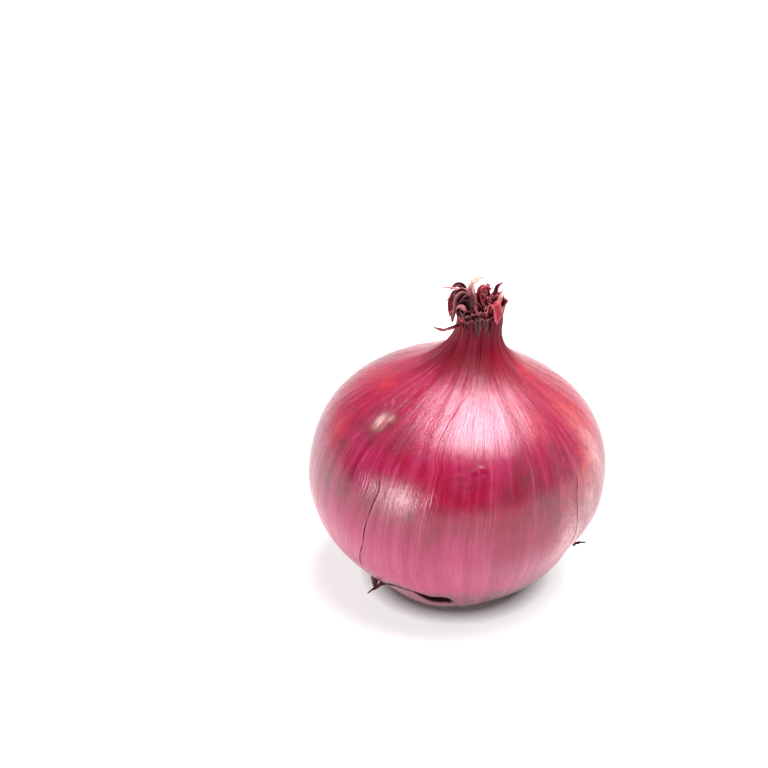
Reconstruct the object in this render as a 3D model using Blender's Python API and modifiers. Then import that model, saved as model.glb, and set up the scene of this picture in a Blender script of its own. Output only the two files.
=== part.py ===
"""A red onion that stands on its root end, in metres, with +Z up.

The origin is on the table under the middle of the onion's bounding box. Its three pieces:
bulb       the body in its papery skin, with its ribbed neck, the torn edge of the outer skin
           round the root end, and the flakes that stand out of that edge
leaf_tuft  the dry top of the neck, torn into curled strips
root_tuft  the root plate and its short dry roots, in the dimple under the bulb
"""

import math
import random

import bmesh
import bpy
import numpy as np
from mathutils import Matrix, Vector
from mathutils.geometry import interpolate_bezier

MM = 0.001

# Body and neck: radius and height of the points that shape the outline
BULB_RADIUS = 0.040
EQUATOR_HEIGHT = 0.0335
SHOULDER_RADIUS = 0.0170
SHOULDER_HEIGHT = 0.0646
NECK_RADIUS = 0.0058
NECK_HEIGHT = 0.0785
NECK_FLARE = 2.15
SHOULDER_SLOPE = NECK_FLARE * (SHOULDER_RADIUS - NECK_RADIUS) / (NECK_HEIGHT - SHOULDER_HEIGHT)
SHOULDER_REACH = 0.0115
UPPER_FULLNESS = 0.0195
LOWER_FULLNESS = 0.0182
RIM_RADIUS = 0.0098
RIM_REACH = 0.0107
DIMPLE_DEPTH = 0.0040
DIMPLE_FLOOR_RADIUS = 0.0066

# How the bulb grew: the bend of its axis, its broad lobes and the ribs of its neck
BEND_OFFSET = 0.0072
BEND_START = 0.020
BEND_END = 0.095
BEND_TILT = 0.45
FOOT_OFFSET = 0.0015
CENTRE_X = -0.0010
RIB_HEIGHT = 0.00042
RIBS_START = 0.058
RIBS_FULL = 0.074
TABLE_PRESS = 0.0004

# The outer skin's torn edge, round the root end
SKIN_STEP = 0.0005
SKIN_EDGE_RADIUS = 0.0250
INWARD = (0.4, 0.9)
EDGE_WANDER = 0.0015
EDGE_FADE = 0.026
TEAR_HEIGHT = 0.0100
TEAR_LEFT = (math.radians(-148), math.radians(-121))
TEAR_RIGHT = (math.radians(-97), math.radians(-87))
SKIN_LIFT = 0.0009
LIFT_ANGLE = math.radians(-102)
LIFT_WIDTH = math.radians(13)
LIFT_START = 0.0002
LIFT_REACH = 0.008

# Broad swellings and hollows of the lower half: azimuth and latitude in degrees, how far each
# reaches round the bulb and up it in degrees, and its height in mm. They leave the foot as it is.
SWELLS = ((-105, -46.5, 27, 9.2, 1.58), (-25, -25, 31, 11, -1.26))
SWELL_START = 0.012
SWELL_FULL = 0.020

# Where the dry top begins, and the peg that roots it in the neck
TUFT_HEIGHT = 0.0775
RIM_HEIGHT = 0.0832
PEG_RADIUS = 0.0028
PEG_DEPTH = 0.0030
CRATER_RADIUS = 0.0040
CRATER_HEIGHT = 0.0806
CRATER_FLOOR_SHARE = 0.8
RIM_ROUNDING = 0.0004
GAP = 0.0003

# Thickness of the dry strips and flakes, and the fineness of the turned bodies
BLADE_THICKNESS = 0.0008
STRIP_ROOT = 0.0016
TURN_STEPS = 72
STRIP_STEPS = 10

# Root plate and roots
PLATE_RADIUS = 0.0054
PLATE_EDGE = 0.0007
PLATE_DOME = 0.0009
ROOT_COUNT = 34
ROOT_RADIUS = 0.00042
ROOT_INSET = 0.0006
ROOT_LENGTHS = (0.0030, 0.0052)
ROOT_FLOOR = 0.0006
ROOT_REACH = 0.0069
ROOT_SEED = 7
GOLDEN_ANGLE = math.radians(137.508)

# Each strip of the tuft: azimuth, radius of its foot, width, length, lean from upright at the
# foot, turn of the lean towards the tip, where along the strip that turn is half done and how
# far it spreads to each side, swing of the azimuth, twist, and the share of the width at the tip
STRIP_FIELDS = (
    "azimuth", "foot", "width", "length", "lean", "turn", "bend", "spread", "swing", "twist", "tip"
)
STRIPS = (
    # the lobe that folds over to the left, the crumpled end above it and a thin spike
    (-152, 4.6, 5.4, 17.5, 8, 165, 0.58, 0.13, 26, 8, 0.55),
    (158, 3.8, 3.6, 12.2, 8, 125, 0.82, 0.14, 30, -15, 0.5),
    (178, 2.4, 1.1, 16.0, 4, 80, 0.57, 0.10, 4, 0, 0.3),
    # tall strips behind and in the middle
    (148, 4.6, 2.8, 14.0, -18, 6, 0.70, 0.25, 0, 35, 0.2),
    (118, 4.8, 4.4, 7.5, 2, 20, 0.70, 0.28, 0, 20, 0.5),
    (66, 4.8, 4.6, 8.2, 4, 25, 0.65, 0.28, 12, -20, 0.4),
    (-150, 2.2, 1.6, 10.8, -2, 8, 0.60, 0.28, 0, 50, 0.6),
    (75, 1.4, 3.4, 11.4, 0, 120, 0.80, 0.14, -60, -20, 0.6),
    # the wall of the neck that still stands on the right
    (8, 5.2, 5.2, 8.6, 2, 8, 0.60, 0.28, 0, -10, 0.6),
    (-30, 5.2, 3.8, 7.6, 2, 12, 0.60, 0.28, 10, 15, 0.35),
    (38, 5.0, 3.0, 10.0, 5, 62, 0.84, 0.14, -10, 20, 0.3),
    # the tongue that folds over the front, the rolled rim beside it and shreds that hang down
    (-56, 4.9, 3.0, 13.2, 2, 168, 0.60, 0.12, 18, 8, 0.85),
    (-122, 5.0, 6.4, 6.4, 4, 110, 0.75, 0.22, 0, 0, 0.8),
    (-96, 5.3, 1.8, 9.0, 12, 160, 0.50, 0.14, 8, 0, 0.3),
    (-78, 5.3, 1.5, 8.0, 10, 160, 0.54, 0.14, -6, 0, 0.3),
    # the tendril low on the left
    (-156, 4.4, 1.8, 9.5, 94, -46, 0.70, 0.25, 10, 20, 0.7),
)

# The flakes of outer skin: azimuth, height on the bulb, length, width, and which way the tip points
FLAKES = (
    dict(azimuth=-136, height=9.5, length=6.0, width=2.2, down=32, sideways=-24),
    dict(azimuth=-140, height=10.0, length=4.0, width=2.4, down=74, sideways=18),
    dict(azimuth=-19, height=17.0, length=3.6, width=1.6, down=-18, sideways=10),
)
FLAKE_ROOT = 0.0016
FLAKE_DROOP = 0.0006
FLAKE_TAPER = 0.85


def ease(value, start, end):
    """0 before start, 1 after end, and a smooth rise between them."""
    share = min(1.0, max(0.0, (value - start) / (end - start)))
    return share * share * (3 - 2 * share)


def curve_points(start, start_handle, end_handle, end, count):
    """count points of a Bezier arc in the radius and height plane."""
    arc = [Vector((x, 0, z)) for x, z in (start, start_handle, end_handle, end)]
    return [(point.x, point.z) for point in interpolate_bezier(*arc, count)]


def neck_radius(height):
    """The neck's radius, from the shoulder up to the dry top."""
    share = (height - SHOULDER_HEIGHT) / (NECK_HEIGHT - SHOULDER_HEIGHT)
    return NECK_RADIUS + (SHOULDER_RADIUS - NECK_RADIUS) * max(0.0, 1 - share) ** NECK_FLARE


def bulb_outline():
    """Radius and height of the bulb's turned outline, from the neck's socket down to the dimple."""
    socket = PEG_RADIUS + GAP
    floor = TUFT_HEIGHT - PEG_DEPTH
    points = [(0, floor), (socket, floor), (socket, TUFT_HEIGHT)]
    neck_rows = 8
    for row in range(neck_rows):
        height = TUFT_HEIGHT + (SHOULDER_HEIGHT - TUFT_HEIGHT) * (row / neck_rows) ** 0.8
        points.append((neck_radius(height), height))
    points += curve_points(
        (SHOULDER_RADIUS, SHOULDER_HEIGHT),
        (SHOULDER_RADIUS + SHOULDER_REACH, SHOULDER_HEIGHT - SHOULDER_REACH / SHOULDER_SLOPE),
        (BULB_RADIUS, EQUATOR_HEIGHT + UPPER_FULLNESS),
        (BULB_RADIUS, EQUATOR_HEIGHT),
        11,
    )
    under = curve_points(
        (BULB_RADIUS, EQUATOR_HEIGHT),
        (BULB_RADIUS, EQUATOR_HEIGHT - LOWER_FULLNESS),
        (RIM_RADIUS + RIM_REACH, 0),
        (RIM_RADIUS, 0),
        17,
    )[1:]
    outer = [point for point in under if point[0] > SKIN_EDGE_RADIUS]
    inner = [point for point in under if point[0] <= SKIN_EDGE_RADIUS]
    points += outer
    points += [under_skin(point, outer[-1][0]) for point in [outer[-1], *inner]]
    points += curve_points(
        (RIM_RADIUS, 0),
        (RIM_RADIUS - 0.0022, 0),
        (DIMPLE_FLOOR_RADIUS + 0.0012, DIMPLE_DEPTH),
        (DIMPLE_FLOOR_RADIUS, DIMPLE_DEPTH),
        5,
    )[1:]
    points.append((0, DIMPLE_DEPTH))
    return points


def under_skin(point, edge_radius):
    """The same point one skin further in. The two skins meet again at the rim that it stands on."""
    radius, height = point
    step = SKIN_STEP * (radius - RIM_RADIUS) / (edge_radius - RIM_RADIUS)
    return radius - INWARD[0] * step, height + INWARD[1] * step


def ribs(angle):
    """How far the neck's ribs stand out at this angle, from about -1 to 1."""
    return (
        0.50 * math.cos(11 * angle + 0.4)
        + 0.30 * math.cos(17 * angle + 2.0)
        + 0.20 * math.cos(7 * angle - 1.2)
    )


def lobes(angle, height):
    """How far the bulb is from round at this angle, as a share of its radius."""
    return 0.011 * math.cos(2 * angle + 0.7) + 0.006 * math.cos(3 * angle - 1.1 + 40 * height)


def edge_shift(angle):
    """How far up the bulb the torn edge lies at this angle, as a distance along the skin."""
    wander = 0.8 * math.sin(3 * angle + 1.3) + 0.5 * math.sin(8 * angle + 0.5) + 0.3 * math.sin(15 * angle)
    return EDGE_WANDER * wander + TEAR_HEIGHT * ease(angle, *TEAR_LEFT) * (1 - ease(angle, *TEAR_RIGHT))


def under_curve():
    """The lower outline from the rim that the bulb stands on to the equator: lengths along it, and points."""
    points = curve_points(
        (RIM_RADIUS, 0),
        (RIM_RADIUS + RIM_REACH, 0),
        (BULB_RADIUS, EQUATOR_HEIGHT - LOWER_FULLNESS),
        (BULB_RADIUS, EQUATOR_HEIGHT),
        120,
    )
    lengths = [0.0]
    for start, end in zip(points, points[1:]):
        lengths.append(lengths[-1] + math.dist(start, end))
    return np.array(lengths), np.array(points)


UNDER_LENGTHS, UNDER_POINTS = under_curve()
EDGE_ALONG = float(np.interp(SKIN_EDGE_RADIUS, UNDER_POINTS[:, 0], UNDER_LENGTHS))


def on_under_curve(along):
    """Radius and height of the point this far along the lower outline."""
    return (
        float(np.interp(along, UNDER_LENGTHS, UNDER_POINTS[:, 0])),
        float(np.interp(along, UNDER_LENGTHS, UNDER_POINTS[:, 1])),
    )


def shifted(radius, height, angle):
    """A point of the lower half moved along the outline with the torn edge, which it fades away from."""
    along = float(np.interp(radius, UNDER_POINTS[:, 0], UNDER_LENGTHS))
    near = ease(radius, RIM_RADIUS, SKIN_EDGE_RADIUS) * (1 - ease(along, EDGE_ALONG, EDGE_ALONG + EDGE_FADE))
    old_radius, old_height = on_under_curve(along)
    new_radius, new_height = on_under_curve(along + edge_shift(angle) * near)
    return radius + new_radius - old_radius, height + new_height - old_height


def swollen(radius, height, angle):
    """The same point where the body swells or sinks there, moved away from the middle of the bulb."""
    rise = height - EQUATOR_HEIGHT
    latitude = math.degrees(math.atan2(rise, radius))
    out = 0.0
    for azimuth, level, round_reach, up_reach, size in SWELLS:
        across = (math.degrees(angle) - azimuth + 180) % 360 - 180
        out += size * MM * math.exp(-((across / round_reach) ** 2) - ((latitude - level) / up_reach) ** 2)
    share = out * ease(radius, SWELL_START, SWELL_FULL) / math.hypot(radius, rise)
    return radius * (1 + share), height + rise * share


def bent(radius, height, angle):
    """The place of a point of the turned body on the onion's bent axis."""
    share = min(1.0, max(0.0, (height - BEND_START) / (BEND_END - BEND_START)))
    axis_x = BEND_OFFSET * ease(height, BEND_START, BEND_END)
    axis_x += FOOT_OFFSET * (1 - ease(height, 0, EQUATOR_HEIGHT))
    slope = BEND_OFFSET * 6 * share * (1 - share) / (BEND_END - BEND_START)
    tilt = BEND_TILT * math.atan(slope)
    across = radius * math.cos(angle)
    return Vector(
        (
            CENTRE_X + axis_x + across * math.cos(tilt),
            radius * math.sin(angle),
            height - across * math.sin(tilt),
        )
    )


def grown(point):
    """A turned body's point on the onion: lobed, ribbed, on the bent axis, the foot pressed flat."""
    radius = math.hypot(point.x, point.y)
    height = point.z
    angle = math.atan2(point.y, point.x)
    if RIM_RADIUS < radius and height < EQUATOR_HEIGHT:
        lifted = SKIN_LIFT * math.exp(-(((angle - LIFT_ANGLE) / LIFT_WIDTH) ** 2))
        lifted *= ease(radius, SKIN_EDGE_RADIUS, SKIN_EDGE_RADIUS + LIFT_START)
        lifted *= 1 - ease(radius, SKIN_EDGE_RADIUS, SKIN_EDGE_RADIUS + LIFT_REACH)
        radius, height = shifted(radius, height, angle)
        radius += INWARD[0] * lifted
        height -= INWARD[1] * lifted
    if SWELL_START < radius:
        radius, height = swollen(radius, height, angle)
    radius *= 1 + lobes(angle, height)
    if radius > PEG_RADIUS + 2 * GAP:
        radius += RIB_HEIGHT * ribs(angle) * ease(height, RIBS_START, RIBS_FULL)
    place = bent(radius, height, angle)
    place.z = max(0.0, place.z - TABLE_PRESS)
    return place


def make_material(name, colour, roughness):
    material = bpy.data.materials.new(name)
    material.use_nodes = True
    shader = material.node_tree.nodes["Principled BSDF"]
    shader.inputs["Base Color"].default_value = (*colour, 1)
    shader.inputs["Roughness"].default_value = roughness
    shader.inputs["Metallic"].default_value = 0
    return material


def link(name, mesh, collection):
    obj = bpy.data.objects.new(name, mesh)
    collection.objects.link(obj)
    return obj


def as_mesh(obj, weld):
    """The object as its modifiers or curve make it, as a plain mesh, its seams welded on request."""
    graph = bpy.context.evaluated_depsgraph_get()
    mesh = bpy.data.meshes.new_from_object(obj.evaluated_get(graph))
    if not weld:
        return mesh
    body = bmesh.new()
    body.from_mesh(mesh)
    bmesh.ops.remove_doubles(body, verts=body.verts, dist=1e-6)
    body.to_mesh(mesh)
    body.free()
    return mesh


def replaced_by_mesh(obj, collection, weld=True):
    """A mesh object in the place of obj, which is removed."""
    name, place, mesh = obj.name, obj.matrix_world.copy(), as_mesh(obj, weld)
    bpy.data.objects.remove(obj)
    made = link(name, mesh, collection)
    made.matrix_world = place
    return made


def turned(name, outline, collection):
    """The outline turned round Z, then grown."""
    mesh = bpy.data.meshes.new(name)
    rows = len(outline)
    mesh.from_pydata([(x, 0, z) for x, z in outline], [(k, k + 1) for k in range(rows - 1)], [])
    obj = link(name, mesh, collection)
    screw = obj.modifiers.new("turn", "SCREW")
    screw.steps = screw.render_steps = TURN_STEPS
    screw.use_merge_vertices = True
    screw.merge_threshold = 1e-5
    made = replaced_by_mesh(obj, collection)
    for vertex in made.data.vertices:
        vertex.co = grown(vertex.co)
    return made


def blade(name, rows, collection):
    """A thin blade of rows of points across it, from foot to tip, split alike on both faces."""
    body = bmesh.new()
    grid = [[body.verts.new(point) for point in row] for row in rows]
    for low, high in zip(grid, grid[1:]):
        for k in range(len(low) - 1):
            body.faces.new((low[k], low[k + 1], high[k + 1]))
            body.faces.new((low[k], high[k + 1], high[k]))
    mesh = bpy.data.meshes.new(name)
    body.to_mesh(mesh)
    body.free()
    obj = link(name, mesh, collection)
    solidify = obj.modifiers.new("thickness", "SOLIDIFY")
    solidify.thickness = BLADE_THICKNESS
    solidify.offset = 0
    return replaced_by_mesh(obj, collection)


def strip_rows(fields, steps=STRIP_STEPS):
    """Rows of three points across one dry strip, from its foot in the tuft's core to its tip."""
    strip = dict(zip(STRIP_FIELDS, fields))
    foot_z = TUFT_HEIGHT + STRIP_ROOT
    axis = bent(0, foot_z, 0)
    azimuth = math.radians(strip["azimuth"])
    out = Vector((math.cos(azimuth), math.sin(azimuth), 0))
    point = axis + out * strip["foot"] * MM
    step = strip["length"] * MM / steps
    rows = []
    for k in range(steps + 1):
        share = k / steps
        bend = ease(share, strip["bend"] - strip["spread"], strip["bend"] + strip["spread"])
        lean = math.radians(strip["lean"] + strip["turn"] * bend)
        heading = azimuth + math.radians(strip["swing"]) * share
        out = Vector((math.cos(heading), math.sin(heading), 0))
        along = out * math.sin(lean) + Vector((0, 0, math.cos(lean)))
        across = Vector((-math.sin(heading), math.cos(heading), 0))
        across.rotate(Matrix.Rotation(math.radians(strip["twist"]) * share, 3, along))
        outward = across.cross(along)
        half = strip["width"] * MM / 2 * (1 - (1 - strip["tip"]) * share ** 2)
        hollow = 0.35 * half
        edge = point - outward * hollow
        rows.append([edge - across * half, point, edge + across * half])
        point = point + along * step
    return rows


def flake_rows(flake):
    """Rows across one pointed flake of skin, from inside the bulb to its tip."""
    azimuth = math.radians(flake["azimuth"])
    height = flake["height"] * MM
    drop = (EQUATOR_HEIGHT - height) / EQUATOR_HEIGHT
    surface = bent(BULB_RADIUS * math.sqrt(1 - 0.93 * drop * drop), height, azimuth)
    out = Vector((math.cos(azimuth), math.sin(azimuth), 0))
    side = Vector((-math.sin(azimuth), math.cos(azimuth), 0))
    down = math.radians(flake["down"])
    sideways = math.radians(flake["sideways"])
    along = out * math.cos(down) - Vector((0, 0, math.sin(down)))
    along = along * math.cos(sideways) + side * math.sin(sideways)
    across = along.cross(out.cross(side)).normalized()
    steps = 4
    rows = []
    for k in range(steps + 1):
        share = k / steps
        place = surface + along * (flake["length"] * MM * share - FLAKE_ROOT)
        place -= Vector((0, 0, FLAKE_DROOP)) * share * share
        half = flake["width"] * MM / 2 * (1 - FLAKE_TAPER * share)
        rows.append([place - across * half, place + across * half])
    return rows


def fused(core, helpers, collection):
    """core joined in one body with every object of the helpers collection, which is emptied."""
    union = core.modifiers.new("join", "BOOLEAN")
    union.operation = "UNION"
    union.operand_type = "COLLECTION"
    union.collection = helpers
    union.solver = "MANIFOLD"
    made = replaced_by_mesh(core, collection, weld=False)
    for helper in list(helpers.objects):
        bpy.data.objects.remove(helper)
    return made


def make_bulb(collection, helpers):
    bulb = turned("bulb", bulb_outline(), collection)
    for number, flake in enumerate(FLAKES):
        blade(f"flake_{number}", flake_rows(flake), helpers)
    return fused(bulb, helpers, collection)


def tuft_outline():
    """The core of the dry top: a ribbed stub that carries on the neck, with a crater and a peg below."""
    bottom = TUFT_HEIGHT + GAP
    rim = RIM_HEIGHT
    floor_radius = CRATER_RADIUS * CRATER_FLOOR_SHARE
    points = [(0, CRATER_HEIGHT), (floor_radius, CRATER_HEIGHT), (CRATER_RADIUS, rim - RIM_ROUNDING)]
    rows = 4
    for row in range(rows + 1):
        height = rim + (bottom - rim) * row / rows
        points.append((neck_radius(height) - (RIM_ROUNDING if row == 0 else 0), height))
    points += [(PEG_RADIUS, bottom), (PEG_RADIUS, bottom - PEG_DEPTH), (0, bottom - PEG_DEPTH)]
    return points


def make_leaf_tuft(collection, helpers):
    core = turned("leaf_tuft", tuft_outline(), collection)
    for number, strip in enumerate(STRIPS):
        blade(f"strip_{number}", strip_rows(strip), helpers)
    return fused(core, helpers, collection)


def plate_outline():
    top = DIMPLE_DEPTH - GAP
    points = [(0, top), (PLATE_RADIUS, top)]
    rows = 4
    for row in range(rows + 1):
        angle = math.pi / 2 * row / rows
        height = top - PLATE_EDGE - PLATE_DOME * math.sin(angle)
        points.append((PLATE_RADIUS * math.cos(angle), height))
    return points


def root_points(number, chance):
    """The points of one dry root, from inside the plate to its end, clear of table and dimple."""
    share = (number + 0.5) / ROOT_COUNT
    angle = number * GOLDEN_ANGLE
    radius = (PLATE_RADIUS - ROOT_INSET) * math.sqrt(share)
    start_z = DIMPLE_DEPTH - GAP - PLATE_EDGE
    length = chance.uniform(*ROOT_LENGTHS)
    lean = math.radians(20 + 50 * share + chance.uniform(-10, 10))
    swing = chance.uniform(-1.1, 1.1)
    curl = chance.uniform(0.2, 0.9)
    steps = 5
    x, y, z = radius * math.cos(angle), radius * math.sin(angle), start_z
    points = []
    for k in range(steps + 1):
        points.append(Vector((x, y, z)))
        share = k / steps
        heading = angle + swing * share
        slant = lean + curl * share
        x += math.sin(slant) * math.cos(heading) * length / steps
        y += math.sin(slant) * math.sin(heading) * length / steps
        z = max(z - math.cos(slant) * length / steps, TABLE_PRESS + ROOT_FLOOR + ROOT_RADIUS)
        reach = math.hypot(x, y)
        allowed = ROOT_REACH - ROOT_RADIUS
        if reach > allowed:
            x, y = x * allowed / reach, y * allowed / reach
    return points


def make_root_tuft(collection, helpers):
    chance = random.Random(ROOT_SEED)
    plate = turned("root_tuft", plate_outline(), collection)
    for number in range(ROOT_COUNT):
        points = root_points(number, chance)
        curve = bpy.data.curves.new(f"root_{number}", "CURVE")
        curve.dimensions = "3D"
        curve.bevel_depth = ROOT_RADIUS
        curve.bevel_resolution = 0
        curve.use_fill_caps = True
        spline = curve.splines.new("POLY")
        spline.points.add(len(points) - 1)
        for k, (target, point) in enumerate(zip(spline.points, points)):
            place = bent(math.hypot(point.x, point.y), point.z, math.atan2(point.y, point.x))
            target.co = (*place - Vector((0, 0, TABLE_PRESS)), 1)
            target.radius = 1 - 0.35 * k / len(points)
        replaced_by_mesh(link(f"root_{number}", curve, helpers), helpers)
    return fused(plate, helpers, collection)


def main():
    for obj in list(bpy.data.objects):
        bpy.data.objects.remove(obj)
    onion = bpy.data.collections.new("red_onion")
    helpers = bpy.data.collections.new("joined_pieces")
    bpy.context.scene.collection.children.link(onion)
    bpy.context.scene.collection.children.link(helpers)
    for obj, material in (
        (make_bulb(onion, helpers), make_material("onion_skin", (0.45, 0.05, 0.12), 0.35)),
        (make_leaf_tuft(onion, helpers), make_material("dry_leaf", (0.16, 0.02, 0.035), 0.6)),
        (make_root_tuft(onion, helpers), make_material("dry_root", (0.42, 0.30, 0.15), 0.85)),
    ):
        obj.data.materials.clear()
        obj.data.materials.append(material)
        obj.data.shade_smooth()
        obj.data.set_sharp_from_angle(angle=math.radians(40))


main()
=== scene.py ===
"""The visible surfaces of a red onion, in metres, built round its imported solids.

bulb_skin        the body's skin and neck: veins, cracks, wrinkles and the outer skin's torn edge
skin_flakes      the dry flakes of outer skin that stand out of that edge
neck_top         the outermost skin of the neck, from the body's skin up to its torn rim
neck_sheaths     the torn ends of the neck's dry skins, one inside the other
leaf_strips      the curled dry leaf ends and the narrow shreds that stand in them
root_plate       the rough disc that the roots grow from
roots            the short dry roots
"""

import math
import random

import bmesh
import bpy
import numpy as np
from mathutils import Matrix, Vector, noise


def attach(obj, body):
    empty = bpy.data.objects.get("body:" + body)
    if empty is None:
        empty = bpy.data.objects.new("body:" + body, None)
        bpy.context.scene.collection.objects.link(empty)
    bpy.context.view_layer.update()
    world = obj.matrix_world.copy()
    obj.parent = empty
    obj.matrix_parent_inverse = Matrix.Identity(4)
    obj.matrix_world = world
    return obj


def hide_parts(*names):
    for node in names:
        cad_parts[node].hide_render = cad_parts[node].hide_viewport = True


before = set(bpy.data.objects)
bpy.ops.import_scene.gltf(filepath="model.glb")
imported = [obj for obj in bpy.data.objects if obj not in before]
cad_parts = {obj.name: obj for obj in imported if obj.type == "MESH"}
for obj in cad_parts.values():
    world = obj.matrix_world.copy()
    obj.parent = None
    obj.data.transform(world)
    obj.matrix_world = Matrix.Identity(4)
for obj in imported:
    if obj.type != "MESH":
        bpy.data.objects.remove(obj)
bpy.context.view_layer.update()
MM = 0.001

# Body and neck: the outline, as the solids have it
BULB_RADIUS = 0.040
EQUATOR_HEIGHT = 0.0335
SHOULDER_RADIUS = 0.0170
SHOULDER_HEIGHT = 0.0646
NECK_RADIUS = 0.0058
NECK_HEIGHT = 0.0785
NECK_FLARE = 2.15
SHOULDER_SLOPE = NECK_FLARE * (SHOULDER_RADIUS - NECK_RADIUS) / (NECK_HEIGHT - SHOULDER_HEIGHT)
SHOULDER_REACH = 0.0115
UPPER_FULLNESS = 0.0195
LOWER_FULLNESS = 0.0182
RIM_RADIUS = 0.0098
RIM_REACH = 0.0107
DIMPLE_DEPTH = 0.0040
DIMPLE_FLOOR_RADIUS = 0.0066

# How the bulb grew
BEND_OFFSET = 0.0072
BEND_START = 0.020
BEND_END = 0.095
BEND_TILT = 0.45
FOOT_OFFSET = 0.0015
CENTRE_X = -0.0010
RIB_HEIGHT = 0.00042
RIBS_START = 0.058
RIBS_FULL = 0.074
TABLE_PRESS = 0.0004

# The outer skin's torn edge, round the root end
SKIN_STEP = 0.0005
SKIN_EDGE_RADIUS = 0.0250
INWARD = (0.4, 0.9)
EDGE_WANDER = 0.0015
EDGE_FADE = 0.026
TEAR_HEIGHT = 0.0100
TEAR_LEFT = (math.radians(-148), math.radians(-121))
TEAR_RIGHT = (math.radians(-97), math.radians(-87))
SKIN_LIFT = 0.0009
LIFT_ANGLE = math.radians(-102)
LIFT_WIDTH = math.radians(13)
LIFT_REACH = 0.008
# Broad swellings and hollows of the lower half: azimuth and latitude in degrees, how far each
# reaches round the bulb and up it in degrees, and its height in mm
SWELLS = ((-105, -46.5, 27, 9.2, 1.58), (-25, -25, 31, 11, -1.26))
SWELL_START = 0.012
SWELL_FULL = 0.020
SKIN_THICKNESS = 0.00016
POCKET_DEPTH = 0.0026
# Where the layer under the torn edge has shrunk away and leaves a gap, coloured near black there as
# painted shade: the azimuths in degrees where each starts, is full, leaves off and ends, and its
# strength, then the full gap's depth and how far in from the edge it closes
GAPS = (
    (-119, -105, -95.5, -92.5, 1.0), (-146, -137, -116, -106, 0.36), (22, 36, 46, 60, 0.4),
    (100, 114, 126, 140, 0.5), (-184, -174, -166, -156, 0.4),
)
GAP_DEPTH = 0.0018
GAP_REACH = 0.0040
# The share of the solids' lift that the torn edge has here, where a gap painted dark as shade shows the rest
LIP_LIFT = 0.35

# The dry top: where it starts, how far above that its leaf ends stand, and what none of them passes
TUFT_HEIGHT = 0.0775
STRIP_ROOT = 0.0016
TUFT_TOP = 0.0885
LEAF_THICKNESS = 0.00016
# Turns from one to the next of things strewn evenly over a disc, in degrees
GOLDEN_ANGLE = 137.508
# How far along the outline the skin's grain counts as one
GRAIN_LENGTH = 0.040

# Camera: where the photograph has the onion in its 768 pixel frame
FRAME_PIXELS = 768
ONION_PIXEL = (457, 468)
PIXEL_SIZE = 0.000273
CAMERA_DISTANCE = 0.75
CAMERA_ELEVATION = math.radians(30)
SENSOR = 36.0
AIM_HEIGHT = 0.0335


def srgb(*colour):
    """A colour of 0 to 255 values, as the linear values that shaders take."""
    return tuple(c / 255 / 12.92 if c <= 10 else ((c / 255 + 0.055) / 1.055) ** 2.4 for c in colour)


def ease(value, start, end):
    """0 before start, 1 after end, and a smooth rise between them."""
    share = np.clip((value - start) / (end - start), 0, 1)
    return share * share * (3 - 2 * share)


def bell(value, centre, width):
    return np.exp(-(((value - centre) / width) ** 2))


def wrapped(angle):
    """The same angle between -pi and pi."""
    return (angle + math.pi) % (2 * math.pi) - math.pi


def stacked(*parts):
    """Arrays that broadcast to one shape, side by side along a new last axis."""
    return np.stack(np.broadcast_arrays(*parts), -1)


def unit(vectors):
    """The same vectors at a length of one."""
    return vectors / np.maximum(np.linalg.norm(vectors, axis=-1, keepdims=True), 1e-12)


def arc(start, start_handle, end_handle, end, count):
    """count points of a Bezier arc, as rows of radius and height."""
    t = np.linspace(0, 1, count)[:, None]
    points = [np.array(p, float) for p in (start, start_handle, end_handle, end)]
    return (
        (1 - t) ** 3 * points[0]
        + 3 * t * (1 - t) ** 2 * points[1]
        + 3 * t ** 2 * (1 - t) * points[2]
        + t ** 3 * points[3]
    )


def neck_radius(height):
    share = (height - SHOULDER_HEIGHT) / (NECK_HEIGHT - SHOULDER_HEIGHT)
    return NECK_RADIUS + (SHOULDER_RADIUS - NECK_RADIUS) * np.maximum(0, 1 - share) ** NECK_FLARE


def ribs(angle):
    return 0.50 * np.cos(11 * angle + 0.4) + 0.30 * np.cos(17 * angle + 2.0) + 0.20 * np.cos(7 * angle - 1.2)


def lobes(angle, height):
    return 0.011 * np.cos(2 * angle + 0.7) + 0.006 * np.cos(3 * angle - 1.1 + 40 * height)


def edge_shift(angle):
    wander = 0.8 * np.sin(3 * angle + 1.3) + 0.5 * np.sin(8 * angle + 0.5) + 0.3 * np.sin(15 * angle)
    around = wrapped(angle)
    return EDGE_WANDER * wander + TEAR_HEIGHT * ease(around, *TEAR_LEFT) * (1 - ease(around, *TEAR_RIGHT))


def bent(radius, height, angle):
    """Places of points of the turned body on the onion's bent axis, as an array of x, y, z."""
    share = np.clip((height - BEND_START) / (BEND_END - BEND_START), 0, 1)
    axis_x = BEND_OFFSET * ease(height, BEND_START, BEND_END)
    axis_x = axis_x + FOOT_OFFSET * (1 - ease(height, 0, EQUATOR_HEIGHT))
    tilt = BEND_TILT * np.arctan(BEND_OFFSET * 6 * share * (1 - share) / (BEND_END - BEND_START))
    across = radius * np.cos(angle)
    side = radius * np.sin(angle)
    return stacked(CENTRE_X + axis_x + across * np.cos(tilt), side, height - across * np.sin(tilt))


def gap_share(angle):
    """How open the gap under the torn edge is at each angle, from 0 to 1."""
    total = np.zeros_like(angle)
    for start, full, leaves, end, strength in GAPS:
        across = np.degrees(wrapped(angle - math.radians((full + leaves) / 2))) + (full + leaves) / 2
        total = np.maximum(total, strength * ease(across, start, full) * (1 - ease(across, leaves, end)))
    return total


def under_arc(count):
    """The outline of the lower half, from the equator to the rim of the dimple."""
    low_handle = (BULB_RADIUS, EQUATOR_HEIGHT - LOWER_FULLNESS)
    return arc((BULB_RADIUS, EQUATOR_HEIGHT), low_handle, (RIM_RADIUS + RIM_REACH, 0), (RIM_RADIUS, 0), count)


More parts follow.
